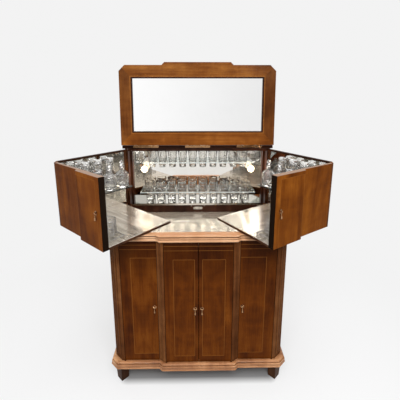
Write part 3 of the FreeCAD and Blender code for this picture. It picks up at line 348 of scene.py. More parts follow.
doorLooks = {
    "left_side_door": {"field": ((-0.340, 0.0), (0.180, 0.739)), "mirrorAt": -0.290, "seed": 11.6},
    "right_side_door": {"field": ((0.0, 0.340), (0.180, 0.739)), "mirrorAt": 0.290, "seed": 12.9},
    "left_middle_door": {"field": ((-0.126, -0.020), (0.176, 0.736)), "mirrorAt": 0.0, "seed": 17.3},
    "right_middle_door": {"field": ((0.020, 0.134), (0.176, 0.736)), "mirrorAt": 0.0, "seed": 17.3},
}
for look in doorLooks.values():
    look.update(tone="door", bandTone="doorBand", bookMatched=True, lines=(0.785, 0.809),
                lineHalf=0.0011, lineStrength=0.42, shade=doorShade, coat=0.05)

frontLooks = {
    "left_unit_front": {"field": ((-0.183, -0.030), (0.0, 1.188)), "mirrorAt": -0.183,
                        "endAt": -0.0015, "side": -1, "seed": 16.5},
    "right_unit_front": {"field": ((0.030, 0.183), (0.0, 1.188)), "mirrorAt": 0.183,
                         "endAt": 0.0015, "side": 1, "seed": 21.2},
}
for look in frontLooks.values():
    look.update(tone="unit", bandTone="unit", bookMatched=False, lines=(), lineHalf=0.0009,
                lineStrength=0.35, topAt=unitTop, coat=0.0)


def veneered(name, look, carrier=None):
    # A field of veneer, mirrored about mirrorAt where it is book-matched, another sheet outside it, and
    # inlaid lines. Outside the field = the larger of its distances beyond the X and the Z range, and
    # the line is where that is near 0.
    finish = Finish(name, carrier)
    base = finish.shutPlace()
    x, y, z = finish.parts(base)
    across = finish.math("SUBTRACT", x, look["mirrorAt"])
    folded = finish.math("ABSOLUTE", across) if look["bookMatched"] else across
    seed = look["seed"]
    sheet = finish.seeded(seed, finish.joined(folded, y, z))
    colour, pores, streak = woodTone(finish, sheet, look["tone"], 0.12)
    edging = finish.place(shift=(seed + 3, seed, 0), source=base)
    bandColour = woodTone(finish, edging, look["bandTone"], 0.1)[0]
    acrossRange, heightRange = look["field"]
    outside = finish.math("MAXIMUM", finish.beyond(x, *acrossRange), finish.beyond(z, *heightRange))
    colour = finish.mix(finish.span(outside, -0.0002, 0.0002), colour, bandColour)
    inlay = finish.near(outside, 0.0, look["lineHalf"])
    for height in look["lines"]:
        inlay = finish.math("MAXIMUM", inlay, finish.near(z, height, look["lineHalf"]))
    if "shade" in look:      # darker towards the top, where the counter keeps the light off
        shade = look["shade"]
        darker = finish.span(z, shade["from"], shade["to"], 0.0, shade["depth"])
        colour = finish.mix(darker, colour, shade["tone"])
    colour = finish.mix(finish.math("MULTIPLY", inlay, look["lineStrength"]), colour, stringing)
    # painted shade on the faces that look up, down or into the bar unit
    if "side" in look:
        colour = finish.mix(finish.inward(look["side"]), colour, paintedInsideShade)
    # painted highlight: a pale band along the top edge
    if "topAt" in look:
        top = finish.span(z, look["topAt"] - 0.0006, look["topAt"] - 0.0002)
        colour = finish.mix(top, colour, paintedTopHighlight)
    black = None
    if "endAt" in look:
        black = finish.near(x, look["endAt"], 0.0007)
        colour = finish.mix(black, colour, blackEdge)
    polish(finish, colour, pores, streak, look["coat"], black)
    return finish.material


lidLook = {
    "opening": ((-0.385, 0.385), (0.050, 0.370)),
    "seed": 9.1,
    "underFrom": 1.2165,        # below this height is the underside
    "mitreHalf": 0.0004,
    "mitreDark": 0.55,
    "lineAt": 0.0035,           # the line round the mirror, beyond the opening
    "lineHalf": 0.0016,
    "lineStrength": 0.5,
    "rightShade": (0.30, 0.42, 0.25),     # painted shade to the right: from, to, and how much darker
    "light": (0.0, 0.42, 0.78, 1.14),    # painted light and shade: from the hinge to the front, and how light at each
}


def laidLid(name):
    # A frame of four rails round the mirror with the grain along each, mitred on its underside: stiles
    # are where the distance beyond the opening in X is the larger, and the mitre is where both agree.
    look = lidLook
    finish = Finish(name, lid)
    base = finish.shutPlace()
    x, y, z = finish.parts(base)
    cut = finish.seeded(look["seed"], base)
    lengthwise = finish.place(turn=grainTurn["x"], source=cut)
    rails, pores, streak = woodTone(finish, lengthwise, "lid", 0.1)
    stiles = woodTone(finish, finish.place(turn=grainTurn["y"], source=cut), "lidStile", 0.15)[0]
    acrossRange, depthRange = look["opening"]
    sideways, lengthways = finish.beyond(x, *acrossRange), finish.beyond(y, *depthRange)
    mitre = finish.math("SUBTRACT", sideways, lengthways)
    under = finish.span(z, look["underFrom"], look["underFrom"] + 0.0005, 1.0, 0.0)
    isStile = finish.math("MULTIPLY", finish.span(mitre, -0.0003, 0.0003), under)
    colour = finish.mix(isStile, rails, stiles)
    # painted shade: darker towards the right
    fadeFrom, fadeTo, fadeDepth = look["rightShade"]
    deep = tones["lidStile"][0]
    colour = finish.mix(finish.span(x, fadeFrom, fadeTo, 0.0, fadeDepth), colour, deep)
    joint = finish.math("MULTIPLY", finish.near(mitre, 0.0, look["mitreHalf"]), under)
    colour = finish.mix(finish.math("MULTIPLY", joint, look["mitreDark"]), colour, deep)
    # painted light and shade: darker towards the lid's front edge, lighter towards the hinge
    light = finish.span(y, *look["light"])
    colour = finish.add("HueSaturation", {"Color": colour, "Value": light}).outputs["Color"]
    outside = finish.math("MAXIMUM", sideways, lengthways)
    edge = finish.near(outside, look["lineAt"], look["lineHalf"])
    colour = finish.mix(finish.math("MULTIPLY", edge, look["lineStrength"]), colour, stringing)
    polish(finish, colour, pores, streak, 0.08)
    return finish.material


mirrorLook = {
    "cloudStretch": (6, 6, 6),           # faint stain
    "speckStretch": (140, 140, 140),     # fox marks
    "rubStretch": (5, 46, 5),            # wear of a deck's sheet
    "foxMark": (0.12, 0.09, 0.07),
    "rough": (0.015, 0.06),
    "wornTones": ((0.45, 0.39, 0.32), (0.74, 0.67, 0.58)),
    "wornRough": (0.13, 0.30),
    "wornMetal": 0.75,
}


def silvered(name, tint, stain, carrier=None, foxed=0.25, seed=0.0, wornBelow=None):
    # Looking glass: full metal, faint cloudy stain and small dark fox marks. Below wornBelow it is a
    # deck's own sheet, greyer and rubbed dull by years of glasses.
    look = mirrorLook
    finish = Finish(name, carrier, Metallic=1.0)
    base = finish.shutPlace()
    stained = finish.place(stretch=look["cloudStretch"], shift=(seed, seed, 0), source=base)
    specked = finish.place(stretch=look["speckStretch"], shift=(seed, 0, 0), source=base)
    cloud, speck = finish.noise(stained, 5.0, 0.6), finish.noise(specked, 2.0, 0.5)
    marks = finish.math("MULTIPLY", finish.span(cloud, 0.58, 0.78),
                        finish.span(speck, 0.62, 0.72, 0.0, foxed))
    colour = finish.mix(finish.span(cloud, 0.35, 0.75, 0.0, 0.5), tint, stain)
    colour = finish.mix(marks, colour, look["foxMark"])
    rough = finish.span(cloud, 0.3, 0.8, *look["rough"])
    if wornBelow:
        rubbed = finish.place(stretch=look["rubStretch"], shift=(0, seed, 0), source=base)
        rub = finish.noise(rubbed, 4.0, 0.6, 0.8)
        low = finish.span(finish.parts(base)[2], wornBelow - 0.0004, wornBelow + 0.0004, 1.0, 0.0)
        colour = finish.mix(low, colour, finish.mix(finish.span(rub, 0.30, 0.72), *look["wornTones"]))
        finish.lay("Metallic", finish.span(low, 0.0, 1.0, 1.0, look["wornMetal"]))
        dull = finish.span(rub, 0.3, 0.75, *look["wornRough"])
        rough = finish.math("ADD", finish.math("MULTIPLY", low, dull),
                            finish.math("MULTIPLY", finish.math("SUBTRACT", 1.0, low), rough))
    finish.lay("Base Color", colour)
    finish.lay("Roughness", rough)
    return finish.material


glassLook = {
    "cloudStretch": (40, 40, 40),
    "smear": 0.04,           # roughness where the polish is uneven
    "clouded": (0.35, 0.94),     # how far the clouded tint shows, and its share of the clear one
    "edgeWhite": 0.45,       # how white a ground front edge is
    "footWhite": 0.26,       # how white the ground feet of upturned glasses are
}


def clearGlass(name, tint, dust=(0.0, 0.06), edgeAt=None, groundFrom=None):
    # Clear glass with a faint uneven polish and film of dust, whose share is taken from transmission.
    # edgeAt: Y of a ground front edge that gathers light. groundFrom: height from which the upturned
    # feet are ground.
    look = glassLook
    finish = Finish(name, IOR=1.5)
    cloud = finish.noise(finish.place(stretch=look["cloudStretch"]), 3.0, 0.6)
    film = finish.span(cloud, 0.3, 0.7, *dust)
    if edgeAt:
        edge = finish.near(finish.parts(finish.shutPlace())[1], edgeAt, 0.0003)
        film = finish.math("MAXIMUM", film, finish.math("MULTIPLY", edge, look["edgeWhite"]))
    if groundFrom:
        height = finish.parts(finish.shutPlace())[2]
        ground = finish.span(height, groundFrom, groundFrom + 0.003, 0.0, look["footWhite"])
        film = finish.math("MAXIMUM", film, ground)
    finish.lay("Transmission Weight", finish.math("SUBTRACT", 1.0, film))
    clouded, share = look["clouded"]
    greyer = tuple(share * part for part in tint)
    finish.lay("Base Color", finish.mix(finish.span(cloud, 0.3, 0.7, 0.0, clouded), tint, greyer))
    finish.lay("Roughness", finish.span(cloud, 0.3, 0.8, 0.0, look["smear"]))
    return finish.material


metalLook = {
    "hairStretch": (1400, 90, 1400),     # fine scratches
    "hairDepth": 0.00003,
    "dullRough": 0.18,                   # how much rougher dull patches are
}


def metal(name, bright, dull, rough, scale=60.0, carrier=None, patches=(0.38, 0.62)):
    # Polished metal: bright and dull patches, dull ones rougher, with hair scratches.
    look = metalLook
    finish = Finish(name, carrier, Metallic=1.0)
    patch = finish.noise(finish.place(stretch=(scale, scale, scale)), 4.0, 0.6)
    hair = finish.noise(finish.place(stretch=look["hairStretch"]), 2.0, 0.5)
    finish.lay("Base Color", finish.mix(finish.span(patch, *patches), bright, dull))
    finish.lay("Roughness", finish.span(patch, 0.3, 0.75, rough, rough + look["dullRough"]))
    finish.bump(hair, look["hairDepth"])
    return finish.material


bulbLook = {
    "glow": [(0.0, (1.0, 0.93, 0.78)), (0.70, (1.0, 0.80, 0.50)), (1.0, (0.9, 0.55, 0.25))],
    "strength": 1.25,
    "glass": (0.9, 0.86, 0.78),
    "rimBlend": 0.35,
    "watts": 2.0,
    "light": (1.0, 0.74, 0.44),
    "lightRadius": 0.012,
    "lightBefore": 0.014,        # in front of the globe
}


def litBulb(name):
    # Opal globe lit from inside: warm, brightest at the middle.
    look = bulbLook
    finish = Finish(name, Roughness=0.3)
    rim = finish.add("LayerWeight", {"Blend": look["rimBlend"]}).outputs["Facing"]
    finish.lay("Emission Color", finish.ramp(rim, look["glow"]))
    finish.lay("Emission Strength", look["strength"])
    finish.lay("Base Color", look["glass"])
    return finish.material


shelfTint = (0.90, 0.96, 0.94)

slotFinish = {
    "walnut_base": walnut("walnutBase", "base", grain="x", seed=1.3, coat=0.5),
    "walnut_counter": walnut("walnutCounter", "counter", grain="x", seed=2.1, coat=0.6, rippled=0.1,
                             topShade=0.62),
    "walnut_case": walnut("walnutCase", "case", seed=3.7),
    "inside_wood": walnut("insideWood", "inside", seed=5.2),
    "back_ply": walnut("backPly", "inside", grain="x", seed=6.4, coat=0.0),
    "dark_walnut": walnut("darkWalnut", "reddish", seed=7.9, coat=0.2),
    "lid_bead": walnut("lidBead", "reddish", grain="x", seed=19.7, coat=0.1, carrier=lid),
    "well_mirror": silvered("wellMirror", (0.78, 0.76, 0.70), (0.62, 0.58, 0.50), seed=1.0,
                            wornBelow=1.0),
    "ledge_mirror": silvered("ledgeMirror", (0.84, 0.84, 0.82), (0.72, 0.69, 0.62), seed=2.0),
    "back_mirror": silvered("backMirror", (0.90, 0.88, 0.84), (0.80, 0.75, 0.67), seed=3.0),
    "lid_mirror": silvered("lidMirror", (0.97, 0.97, 0.97), (0.93, 0.93, 0.93), lid, 0.1, 5.0),
    "shelf_glass": clearGlass("shelfGlass", shelfTint),
    "row_glass": clearGlass("rowGlass", (0.99, 0.985, 0.97), dust=(0.0, 0.035)),
    "cut_glass": clearGlass("cutGlass", (0.99, 0.985, 0.975), dust=(0.0, 0.05), groundFrom=1.1790),
    "nickel": metal("nickel", (0.80, 0.78, 0.74), (0.45, 0.42, 0.38), 0.12),
    "rack_chrome": metal("rackChrome", (0.62, 0.61, 0.60), (0.30, 0.29, 0.28), 0.12, 200.0),
    "brass": metal("brass", (0.66, 0.38, 0.19), (0.10, 0.046, 0.022), 0.14, 300.0),
    "lit_bulb": litBulb("litBulb"),
}

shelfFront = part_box("glass_shelves")[0].y - shutOrigin[1]
nodeFinish = {
    "lid_board": laidLid("walnutLid"),
    "glass_shelves": clearGlass("groundShelfGlass", shelfTint, edgeAt=shelfFront),
    "top_board": walnut("topBoard", "reddish", grain="x", seed=23.0, coat=0.06),
    "feet": walnut("footWood", "foot", seed=25.0),
    "lid_hinge_leaves": metal("lidBrass", (0.95, 0.84, 0.64), (0.22, 0.160, 0.100), 0.30, 46.0, lid,
                              (0.47, 0.53)),
}
for nodeName, look in {**doorLooks, **frontLooks}.items():
    carrier = {"left_unit_front": leftUnit, "right_unit_front": rightUnit}.get(nodeName)
    nodeFinish[nodeName] = veneered(nodeName + "Veneer", look, carrier)
for carrier, hand, side, seed in ((leftUnit, "left", -1, 4.0), (rightUnit, "right", 1, 4.7)):
    nodeFinish[hand + "_unit_side"] = walnut(hand + "UnitSideWood", "unit", seed=13.2 + seed,
                                             carrier=carrier, side=side)
    nodeFinish[hand + "_unit_post"] = walnut(hand + "UnitPostWood", "case", seed=14.8 + seed,
                                             coat=0.0, carrier=carrier)
    nodeFinish[hand + "_unit_deck"] = walnut(hand + "DeckWood", "foot", grain="x", seed=18.4 + seed,
                                             carrier=carrier)
    nodeFinish[hand + "_unit_mirrors"] = silvered(hand + "UnitMirror", (0.84, 0.84, 0.82),
                                                  (0.70, 0.67, 0.60), carrier, seed=seed,
                                                  wornBelow=deckTop + 0.001)

slotNames = {entry["node"]: entry["material_slot"] for entry in frame["record"]["subparts"]}
for nodeName, node in nodes.items():
    dress = nodeFinish.get(nodeName) or slotFinish.get(slotNames[nodeName])
    for place in range(len(node.data.materials)):
        node.data.materials[place] = dress
print("finishes laid:", len(slotFinish) + len(nodeFinish))


def ringFaces(rows, spokes):
    # Quads between neighbouring rings of points, every ring closed on itself.
    row, spoke = np.meshgrid(np.arange(rows - 1), np.arange(spokes), indexing="ij")
    ahead = (spoke + 1) % spokes
    low, high = row * spokes, (row + 1) * spokes
    return np.stack([low + spoke, low + ahead, high + ahead, high + spoke], axis=-1).reshape(-1, 4)


def closedTurning(radii, heights):
    # Rings of points (r(row, a) cos a, r(row, a) sin a, z(row)), with a fan of faces at each pole.
    rows, spokes = radii.shape
    a = np.linspace(0, 2 * np.pi, spokes, endpoint=False)
    z = np.broadcast_to(np.asarray(heights)[:, None], radii.shape)
    points = np.stack([radii * np.cos(a), radii * np.sin(a), z], axis=-1).reshape(-1, 3)
    faces = [tuple(face) for face in ringFaces(rows, spokes)]
    ahead = (np.arange(spokes) + 1) % spokes
    low, high = len(points), len(points) + 1
    points = np.vstack([points, [0, 0, heights[0]], [0, 0, heights[-1]]])
    last = (rows - 1) * spokes
    faces += [(low, int(j), int(i)) for i, j in zip(range(spokes), ahead)]
    faces += [(high, int(last + i), int(last + j)) for i, j in zip(range(spokes), ahead)]
    return points, faces


def panelled(spokes, panels):
    # Share of the radius that flat panels leave at each angle: cos(pi / n) / cos(pi / n - away), with
    # away = the angle from the nearest corner.
    a = np.linspace(0, 2 * np.pi, spokes, endpoint=False)
    step = 2 * np.pi / panels
    away = np.abs((a + step / 2) % step - step / 2)
    return np.cos(step / 2) / np.cos(step / 2 - away)


def makePiece(name, parts, carrier, slot, *stoodFor, sharp):
    # Joins (points, faces) parts into one mesh, carries it to where its body stands and lets it ride
    # there. Edges sharper than sharp degrees stay crisp.
    points, faces, count = [], [], 0
    for partPoints, partFaces in parts:
        points.append(partPoints)
        faces += [tuple(index + count for index in face) for face in partFaces]
        count += len(partPoints)
    mesh = bpy.data.meshes.new(name)
    mesh.from_pydata(carrier.carry(np.vstack(points)).tolist(), [], faces)
    mesh.polygons.foreach_set("use_smooth", np.ones(len(faces), bool))
    mesh.set_sharp_from_angle(angle=radians(sharp))
    piece = bpy.data.objects.new(name, mesh)
    bpy.context.scene.collection.objects.link(piece)
    mesh.materials.append(slotFinish[slot])
    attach(piece, carrier.body)
    if stoodFor:
        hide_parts(*stoodFor)


tumblerLook = {
    "spokes": 48,
    "panels": 12,
    "wall": 0.0017,
    "foot": 0.0085,       # solid bottom
    "cutTo": 0.66,        # share of the height that the cut panels reach
    "depth": 1.0,         # 1 = panels quite flat
    "footRound": 0.0012,
    "rimRound": 0.0004,
    "floorRound": (0.0018, 0.0060),      # how far the inside draws in at the floor, in two steps
}


def cutTumbler(high, rim, foot):
    # Flared cup. Outside radius runs from foot to rim, times the panel share below cutTo; the inside is
    # plain.
    look = tumblerLook
    spokes, cutTo = look["spokes"], look["cutTo"]
    share = np.array([0, 0.015, 0.05, 0.10, 0.30, 0.50, cutTo - 0.02, cutTo, cutTo + 0.02,
                      0.85, 0.985, 1.0])
    outside = foot + (rim - foot) * share
    outside[0] -= look["footRound"]
    cut = np.interp(share, [0, 0.05, cutTo - 0.02, cutTo, 1], [1, 1, 1, 0, 0]) * look["depth"]
    outer = outside[:, None] * (1 - cut[:, None] * (1 - panelled(spokes, look["panels"])[None, :]))
    outer[-1] -= look["rimRound"]
    floor = look["foot"] / high
    inShare = np.array([1.0, 0.985, 0.85, 0.55, 0.25, floor + 0.05, floor + 0.015, floor])
    inside = foot + (rim - foot) * inShare - look["wall"]
    inside[-2:] -= look["floorRound"]
    inside[0] += look["rimRound"]
    inner = np.repeat(inside[:, None], spokes, axis=1)
    return closedTurning(np.vstack([outer, inner]), np.concatenate([share, inShare]) * high)


# radius and height of each point of the outlines
decanterLook = {
    "outer": ((0.0290, 0.0), (0.0318, 0.0022), (0.0345, 0.010), (0.0352, 0.014), (0.0362, 0.056),
              (0.0355, 0.062), (0.0330, 0.0695), (0.0270, 0.0775), (0.0190, 0.0835), (0.0125, 0.0885),
              (0.0112, 0.095), (0.0112, 0.105), (0.0140, 0.1095), (0.0150, 0.1120)),
    "inner": ((0.0085, 0.1120), (0.0082, 0.095), (0.0092, 0.0880), (0.0160, 0.0810), (0.0245, 0.0745),
              (0.0305, 0.0670), (0.0328, 0.058), (0.0318, 0.018), (0.0280, 0.0125)),
    "stopper": ((0.0055, 0.097), (0.0074, 0.112), (0.0098, 0.1128), (0.0092, 0.1152), (0.0045, 0.1180),
                (0.0085, 0.1230), (0.0122, 0.1290), (0.0118, 0.1340), (0.0070, 0.1395),
                (0.0025, 0.1418)),
    "diamonds": 14,      # diamonds round the body
    "pitch": 0.015,      # height of one diamond
    "groove": 0.0014,
    "cutFrom": 0.014,
    "cutTo": 0.056,
    "cutEnd": 0.002,     # where the grooves run out
    "cutRows": 16,
    "spokes": 84,
    "facets": 8,         # round the stopper
    "facetSpokes": 48,
    "facetFrom": 0.12,
}


def saw(t):
    # Triangle wave from 0 at whole numbers to 1 halfway between them.
    return 1 - np.abs((t % 1.0) * 2 - 1)


def cutDecanter():
    # Bottle: outline turned round Z, with two families of slanted grooves, saw(n a / 2pi + z / pitch)
    # and its mirror image, sunk into the body; the mouth leads down into the hollow. Then the faceted
    # stopper.
    look = decanterLook
    spokes, cutFrom, cutTo, cutEnd = look["spokes"], look["cutFrom"], look["cutTo"], look["cutEnd"]
    a = np.linspace(0, 1, spokes, endpoint=False)
    outerR, outerZ = np.array(look["outer"]).T
    rows = np.sort(np.concatenate([outerZ, np.linspace(cutFrom, cutTo, look["cutRows"] + 2)[1:-1]]))
    radii = np.interp(rows, outerZ, outerR)
    window = np.interp(rows, [cutFrom, cutFrom + cutEnd, cutTo - cutEnd, cutTo], [0, 1, 1, 0])
    turns, climb = np.meshgrid(a * look["diamonds"], rows / look["pitch"])
    ridge = np.minimum(saw(turns + climb / 2), saw(turns - climb / 2))
    outer = radii[:, None] - look["groove"] * window[:, None] * (1 - ridge)
    innerR, innerZ = np.array(look["inner"]).T
    inner = np.repeat(innerR[:, None], spokes, axis=1)
    bottle = closedTurning(np.vstack([outer, inner]), np.concatenate([rows, innerZ]))
    stopR, stopZ = np.array(look["stopper"]).T
    flat = panelled(look["facetSpokes"], look["facets"])[None, :]
    facets = flat ** np.where(stopZ > look["facetFrom"], 1.0, 0.0)[:, None]
    return [bottle, closedTurning(stopR[:, None] * facets, stopZ)]


def put(part, x=0.0, y=0.0, z=0.0, over=False):
    # A copy at x, y, z; over = turned upside down about X.
    points, faces = part
    points = points * np.array([1, -1, -1]) if over else points
    return points + np.array([x, y, z]), faces


# size: height, rim radius, foot radius; at: X from the middle and Y of each glass
glassSpots = {
    "rowY": 0.4775,
    "rowOf": 10,
    "tall": {"size": (0.135, 0.030, 0.022), "pitch": 0.0666, "z": 0.8633},
    "hung": {"size": (0.100, 0.028, 0.020), "pitch": 0.0622, "z": 1.0890},
    "shelfZ": 1.0413,
    "side": {"size": (0.142, 0.0285, 0.0205),
             "at": ((0.3884, 0.300), (0.3884, 0.225), (0.3884, 0.150))},
    "front": {"size": (0.120, 0.0270, 0.0205), "at": ((0.2813, 0.155), (0.2813, 0.095))},
    "decanters": ((0.2833, 0.301), (0.2833, 0.223)),
    "sharp": 22,
}


def makeGlassware():
    # Tall tumblers through the lower shelf, others hung in the upper one, at pitch x (n - middle), and
    # the units' own glass.
    spots = glassSpots
    parts = []
    for row in (spots["tall"], spots["hung"]):
        glass = cutTumbler(*row["size"])
        parts += [put(glass, (n - (spots["rowOf"] - 1) / 2) * row["pitch"], spots["rowY"], row["z"])
                  for n in range(spots["rowOf"])]
    makePiece("backRowTumblers", parts, cabinet, "row_glass", "back_row_glasses",
              sharp=spots["sharp"])
    decanter = cutDecanter()
    for side, carrier, hand in ((-1, leftUnit, "left"), (1, rightUnit, "right")):
        parts = []
        for row in (spots["side"], spots["front"]):
            glass, top = cutTumbler(*row["size"]), spots["shelfZ"] + row["size"][0]
            parts += [put(glass, x * side, y, top, over=True) for x, y in row["at"]]
        for x, y in spots["decanters"]:
            parts += [put(shell, x * side, y, spots["shelfZ"]) for shell in decanter]
        makePiece(hand + "CutGlass", parts, carrier, "cut_glass", hand + "_unit_glassware",
                  sharp=spots["sharp"])


railLook = {
    "plate": (0.029, 0.0085, 0.0014),    # half length, half height, thickness
    "plateZ": 0.832,
    "bevelIn": (0, 0, 0.0006, 0.0022, 0.0026),     # the plate's outline drawn in, ring by ring
    "bevelUp": (0, 0.6, 1.0, 1.0, 0.8),            # shares of its thickness
    "pinX": 0.0235,
    "pinShare": 0.45,
    "studX": 0.040,
    "studZ": 0.8455,
    "studRadius": 0.0032,
    "studFlat": 0.7,
    "face": 0.438,
    "sharp": 30,
}


def facingFront(part, x, y, z):
    # Turns a shape made round Z to stand out towards -Y: (x, y, z) becomes (x, -z, y).
    points, faces = part
    return points[:, [0, 2, 1]] * np.array([1, -1, 1]) + np.array([x, y, z]), faces


def makeRailFittings():
    # Bare plate: rings of a sixth-power oval, (|cos a / l|^6 + |sin a / h|^6)^(-1/6), stepped in to a
    # bevel; studs: half domes, radius cos(t), height sin(t).
    look = railLook
    long, high, thick = look["plate"]
    a = np.linspace(0, 2 * np.pi, 64, endpoint=False)
    oval = (np.abs(np.cos(a) / long) ** 6 + np.abs(np.sin(a) / high) ** 6) ** (-1 / 6)
    plate = closedTurning(oval[None, :] - np.array(look["bevelIn"])[:, None],
                          np.array(look["bevelUp"]) * thick)
    t = np.linspace(0, np.pi / 2, 7)[:-1]
    dome = closedTurning(np.repeat((np.cos(t) * look["studRadius"])[:, None], 24, axis=1),
                         np.sin(t) * look["studRadius"] * look["studFlat"])
    pin = (dome[0] * look["pinShare"], dome[1])
    parts = [facingFront(plate, 0, look["face"], look["plateZ"])]
    for side in (-1, 1):
        parts.append(facingFront(pin, look["pinX"] * side, look["face"] - thick * 0.8, look["plateZ"]))
    for side in (-1, 1):
        parts.append(facingFront(dome, look["studX"] * side, look["face"], look["studZ"]))
    makePiece("railPlateAndStuds", parts, cabinet, "nickel", sharp=look["sharp"])


makeGlassware()
makeRailFittings()

stageLook = {
    "pale": (0.895, 0.895, 0.895),   # what the camera, metal and glass see
    "floorColour": (0.30, 0.303, 0.308),
    "floorGlow": 0.665,              # the share of the pale colour that no shadow takes away
    "footprint": ((-0.362, 0.408), (-0.142, 0.306)),     # the ground under the base, X and Y, where the painted contact shadow lies
    "paintedShadowFade": (0.008, 0.054),
    "fade": (0.75, 1.9),             # metres from the middle where the floor fades into the backdrop
    "radius": 14.0,
    "below": 0.0006,                 # how far the floor lies under the feet
    "skyColour": (1.0, 0.985, 0.96),
    "skyLight": 0.55,
    "glossTurn": (-0.25, 0.35, 1.17, 0.885),     # left and right, and how bright each reflects
}


def seenFactor(tree):
    # 1 for camera, glossy and transmission rays, 0 for the rays that carry light
    path = addNode(tree, "LightPath").outputs
    seen = addNode(tree, "Math", {0: path["Is Camera Ray"], 1: path["Is Glossy Ray"]},
                   operation="MAXIMUM").outputs[0]
    return addNode(tree, "Math", {0: seen, 1: path["Is Transmission Ray"]},
                   operation="MAXIMUM").outputs[0]


def floorFinish():
    # Plain floor. It glows in the backdrop's colour except near the footprint, where the glow is left out
    # to paint a dark contact shadow over the floor's own shadow, and it fades into the backdrop further out.
    # Distance from the footprint: the length of (beyond its X range, beyond its Y range), each at least 0.
    look = stageLook
    finish = Finish("floorFinish", Roughness=0.9)
    finish.lay("Specular IOR Level", 0.0)
    finish.lay("Base Color", look["floorColour"])
    place = finish.add("TexCoord").outputs["Object"]
    seen = seenFactor(finish.tree)
    x, y, z = finish.parts(place)
    acrossRange, depthRange = look["footprint"]
    beside = finish.math("MAXIMUM", finish.beyond(x, *acrossRange), 0.0)
    before = finish.math("MAXIMUM", finish.beyond(y, *depthRange), 0.0)
    away = finish.length(finish.joined(beside, before, 0.0))
    # painted contact shadow: no glow near the footprint
    clear = finish.span(away, *look["paintedShadowFade"], 0.0, look["floorGlow"])
    finish.lay("Emission Color", look["pale"])
    finish.lay("Emission Strength", finish.math("MULTIPLY", seen, clear))
    backdrop = finish.add("Emission", {"Color": look["pale"], "Strength": 1.0})
    fade = finish.math("MULTIPLY", finish.span(finish.length(place), *look["fade"]), seen)
    blend = finish.add("MixShader", {0: fade, 1: finish.shader.outputs[0], 2: backdrop.outputs[0]})
    feed(finish.tree, finish.tree.nodes["Material Output"].inputs["Surface"], blend.outputs[0])
    return finish.material


def makeFloor():
    # A flat disc: rings of radius r by angle a, at z just under the feet.
    look = stageLook
    rings, spokes = 24, 96
    r = np.linspace(0, 1, rings)[1:] ** 2 * look["radius"]
    a = np.linspace(0, 2 * np.pi, spokes, endpoint=False)
    x, y = np.outer(r, np.cos(a)).ravel(), np.outer(r, np.sin(a)).ravel()
    points = np.vstack([np.column_stack([x, y, np.zeros(x.size)]), [0, 0, 0]]) - [0, 0, look["below"]]
    step = np.arange(spokes)
    faces = [tuple(face[::-1]) for face in ringFaces(rings - 1, spokes)]
    faces += [(len(points) - 1, int(i), int(j)) for i, j in zip(step, (step + 1) % spokes)]
    mesh = bpy.data.meshes.new("floor")
    mesh.from_pydata(points.tolist(), [], faces)
    mesh.materials.append(floorFinish())
    floor = bpy.data.objects.new("floor", mesh)
    bpy.context.scene.collection.objects.link(floor)


def makeWorld():
    # Seen: a pale room, a little darker to the right in reflections. Light: an even, faintly warm sky.
    look = stageLook
    world = bpy.data.worlds.new("room")
    bpy.context.scene.world = world
    world.use_nodes = True
    tree = world.node_tree
    tree.nodes.clear()
    direction = addNode(tree, "SeparateXYZ", {0: addNode(tree, "TexCoord").outputs["Generated"]})
    left, right, atLeft, atRight = look["glossTurn"]
    side = addNode(tree, "MapRange", {"Value": direction.outputs[0], "From Min": left,
                                      "From Max": right, "To Min": atLeft, "To Max": atRight})
    glossy = addNode(tree, "LightPath").outputs["Is Glossy Ray"]
    strength = addNode(tree, "Mix", {0: glossy, 2: 1.0, 3: side.outputs[0]})
    seen = addNode(tree, "Background", {"Color": look["pale"], "Strength": strength.outputs[0]})
    light = addNode(tree, "Background", {"Color": look["skyColour"], "Strength": look["skyLight"]})
    blend = addNode(tree, "MixShader", {0: seenFactor(tree), 1: light.outputs[0], 2: seen.outputs[0]})
    addNode(tree, "OutputWorld", {"Surface": blend.outputs[0]})


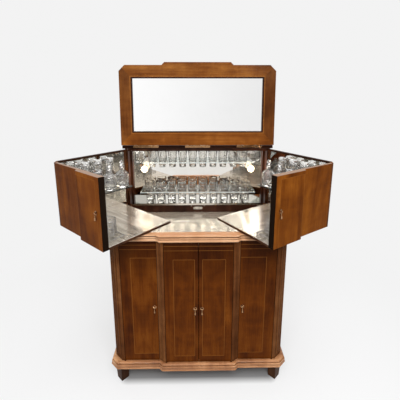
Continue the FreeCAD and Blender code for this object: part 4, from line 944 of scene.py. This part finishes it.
# place, width and height, watts, and whether metal, mirror and glass show it
softBoxes = {
    "keyLamp": ((0.15, -2.4, 3.0), (2.2, 1.6), 84, False),
    "topLamp": ((0.2, -0.2, 3.1), (2.0, 1.4), 34, False),
    "leftSparkle": ((-0.7, -2.0, 2.5), (0.35, 0.25), 7, True),
    "rightSparkle": ((0.8, -2.1, 2.3), (0.30, 0.25), 4.5, True),
}
lampTarget = (0, 0, 0.9)


def makeSoftBox(name, place, size, watts, sparkles):
    # Turned so that it looks along the ray from its place to the target.
    data = bpy.data.lights.new(name, "AREA")
    data.shape = "RECTANGLE"
    data.size, data.size_y = size
    data.energy = watts
    lamp = bpy.data.objects.new(name, data)
    bpy.context.scene.collection.objects.link(lamp)
    lamp.location = place
    x, y, z = np.array(lampTarget, float) - np.array(place, float)
    lamp.rotation_euler = (np.arctan2(np.hypot(x, y), -z), 0, np.arctan2(y, x) - np.pi / 2)
    lamp.visible_glossy = sparkles


def makeBulbLight(name, place):
    # The warm light that a globe throws round itself.
    look = bulbLook
    data = bpy.data.lights.new(name, "POINT")
    data.energy = look["watts"]
    data.color = look["light"]
    data.shadow_soft_size = look["lightRadius"]
    lamp = bpy.data.objects.new(name, data)
    bpy.context.scene.collection.objects.link(lamp)
    lamp.location = place
    lamp.visible_glossy = False
    lamp.visible_transmission = False


cameraLook = {
    "place": (0.0094, -1.6122, 1.5554),
    "pitch": 12.51,      # degrees below the horizon
    "yaw": -0.83,
    "lens": 28.66,
    "sensor": 36.0,
    "shift": -0.10,
}


def makeCamera():
    look = cameraLook
    data = bpy.data.cameras.new("camera")
    data.sensor_width = look["sensor"]
    data.lens = look["lens"]
    data.shift_y = look["shift"]
    camera = bpy.data.objects.new("camera", data)
    bpy.context.scene.collection.objects.link(camera)
    camera.location = look["place"]
    camera.rotation_euler = (radians(90 - look["pitch"]), 0, radians(look["yaw"]))
    bpy.context.scene.camera = camera


makeWorld()
makeFloor()
for name, box in softBoxes.items():
    makeSoftBox(name, *box)
low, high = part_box("lamp_bulbs")
radius = (high.z - low.z) / 2
for name, x in (("leftBulbLight", low.x + radius), ("rightBulbLight", high.x - radius)):
    makeBulbLight(name, (x, low.y - bulbLook["lightBefore"], low.z + radius))
makeCamera()
bpy.context.scene.view_settings.view_transform = "Standard"
print("stage, lamps and camera set")
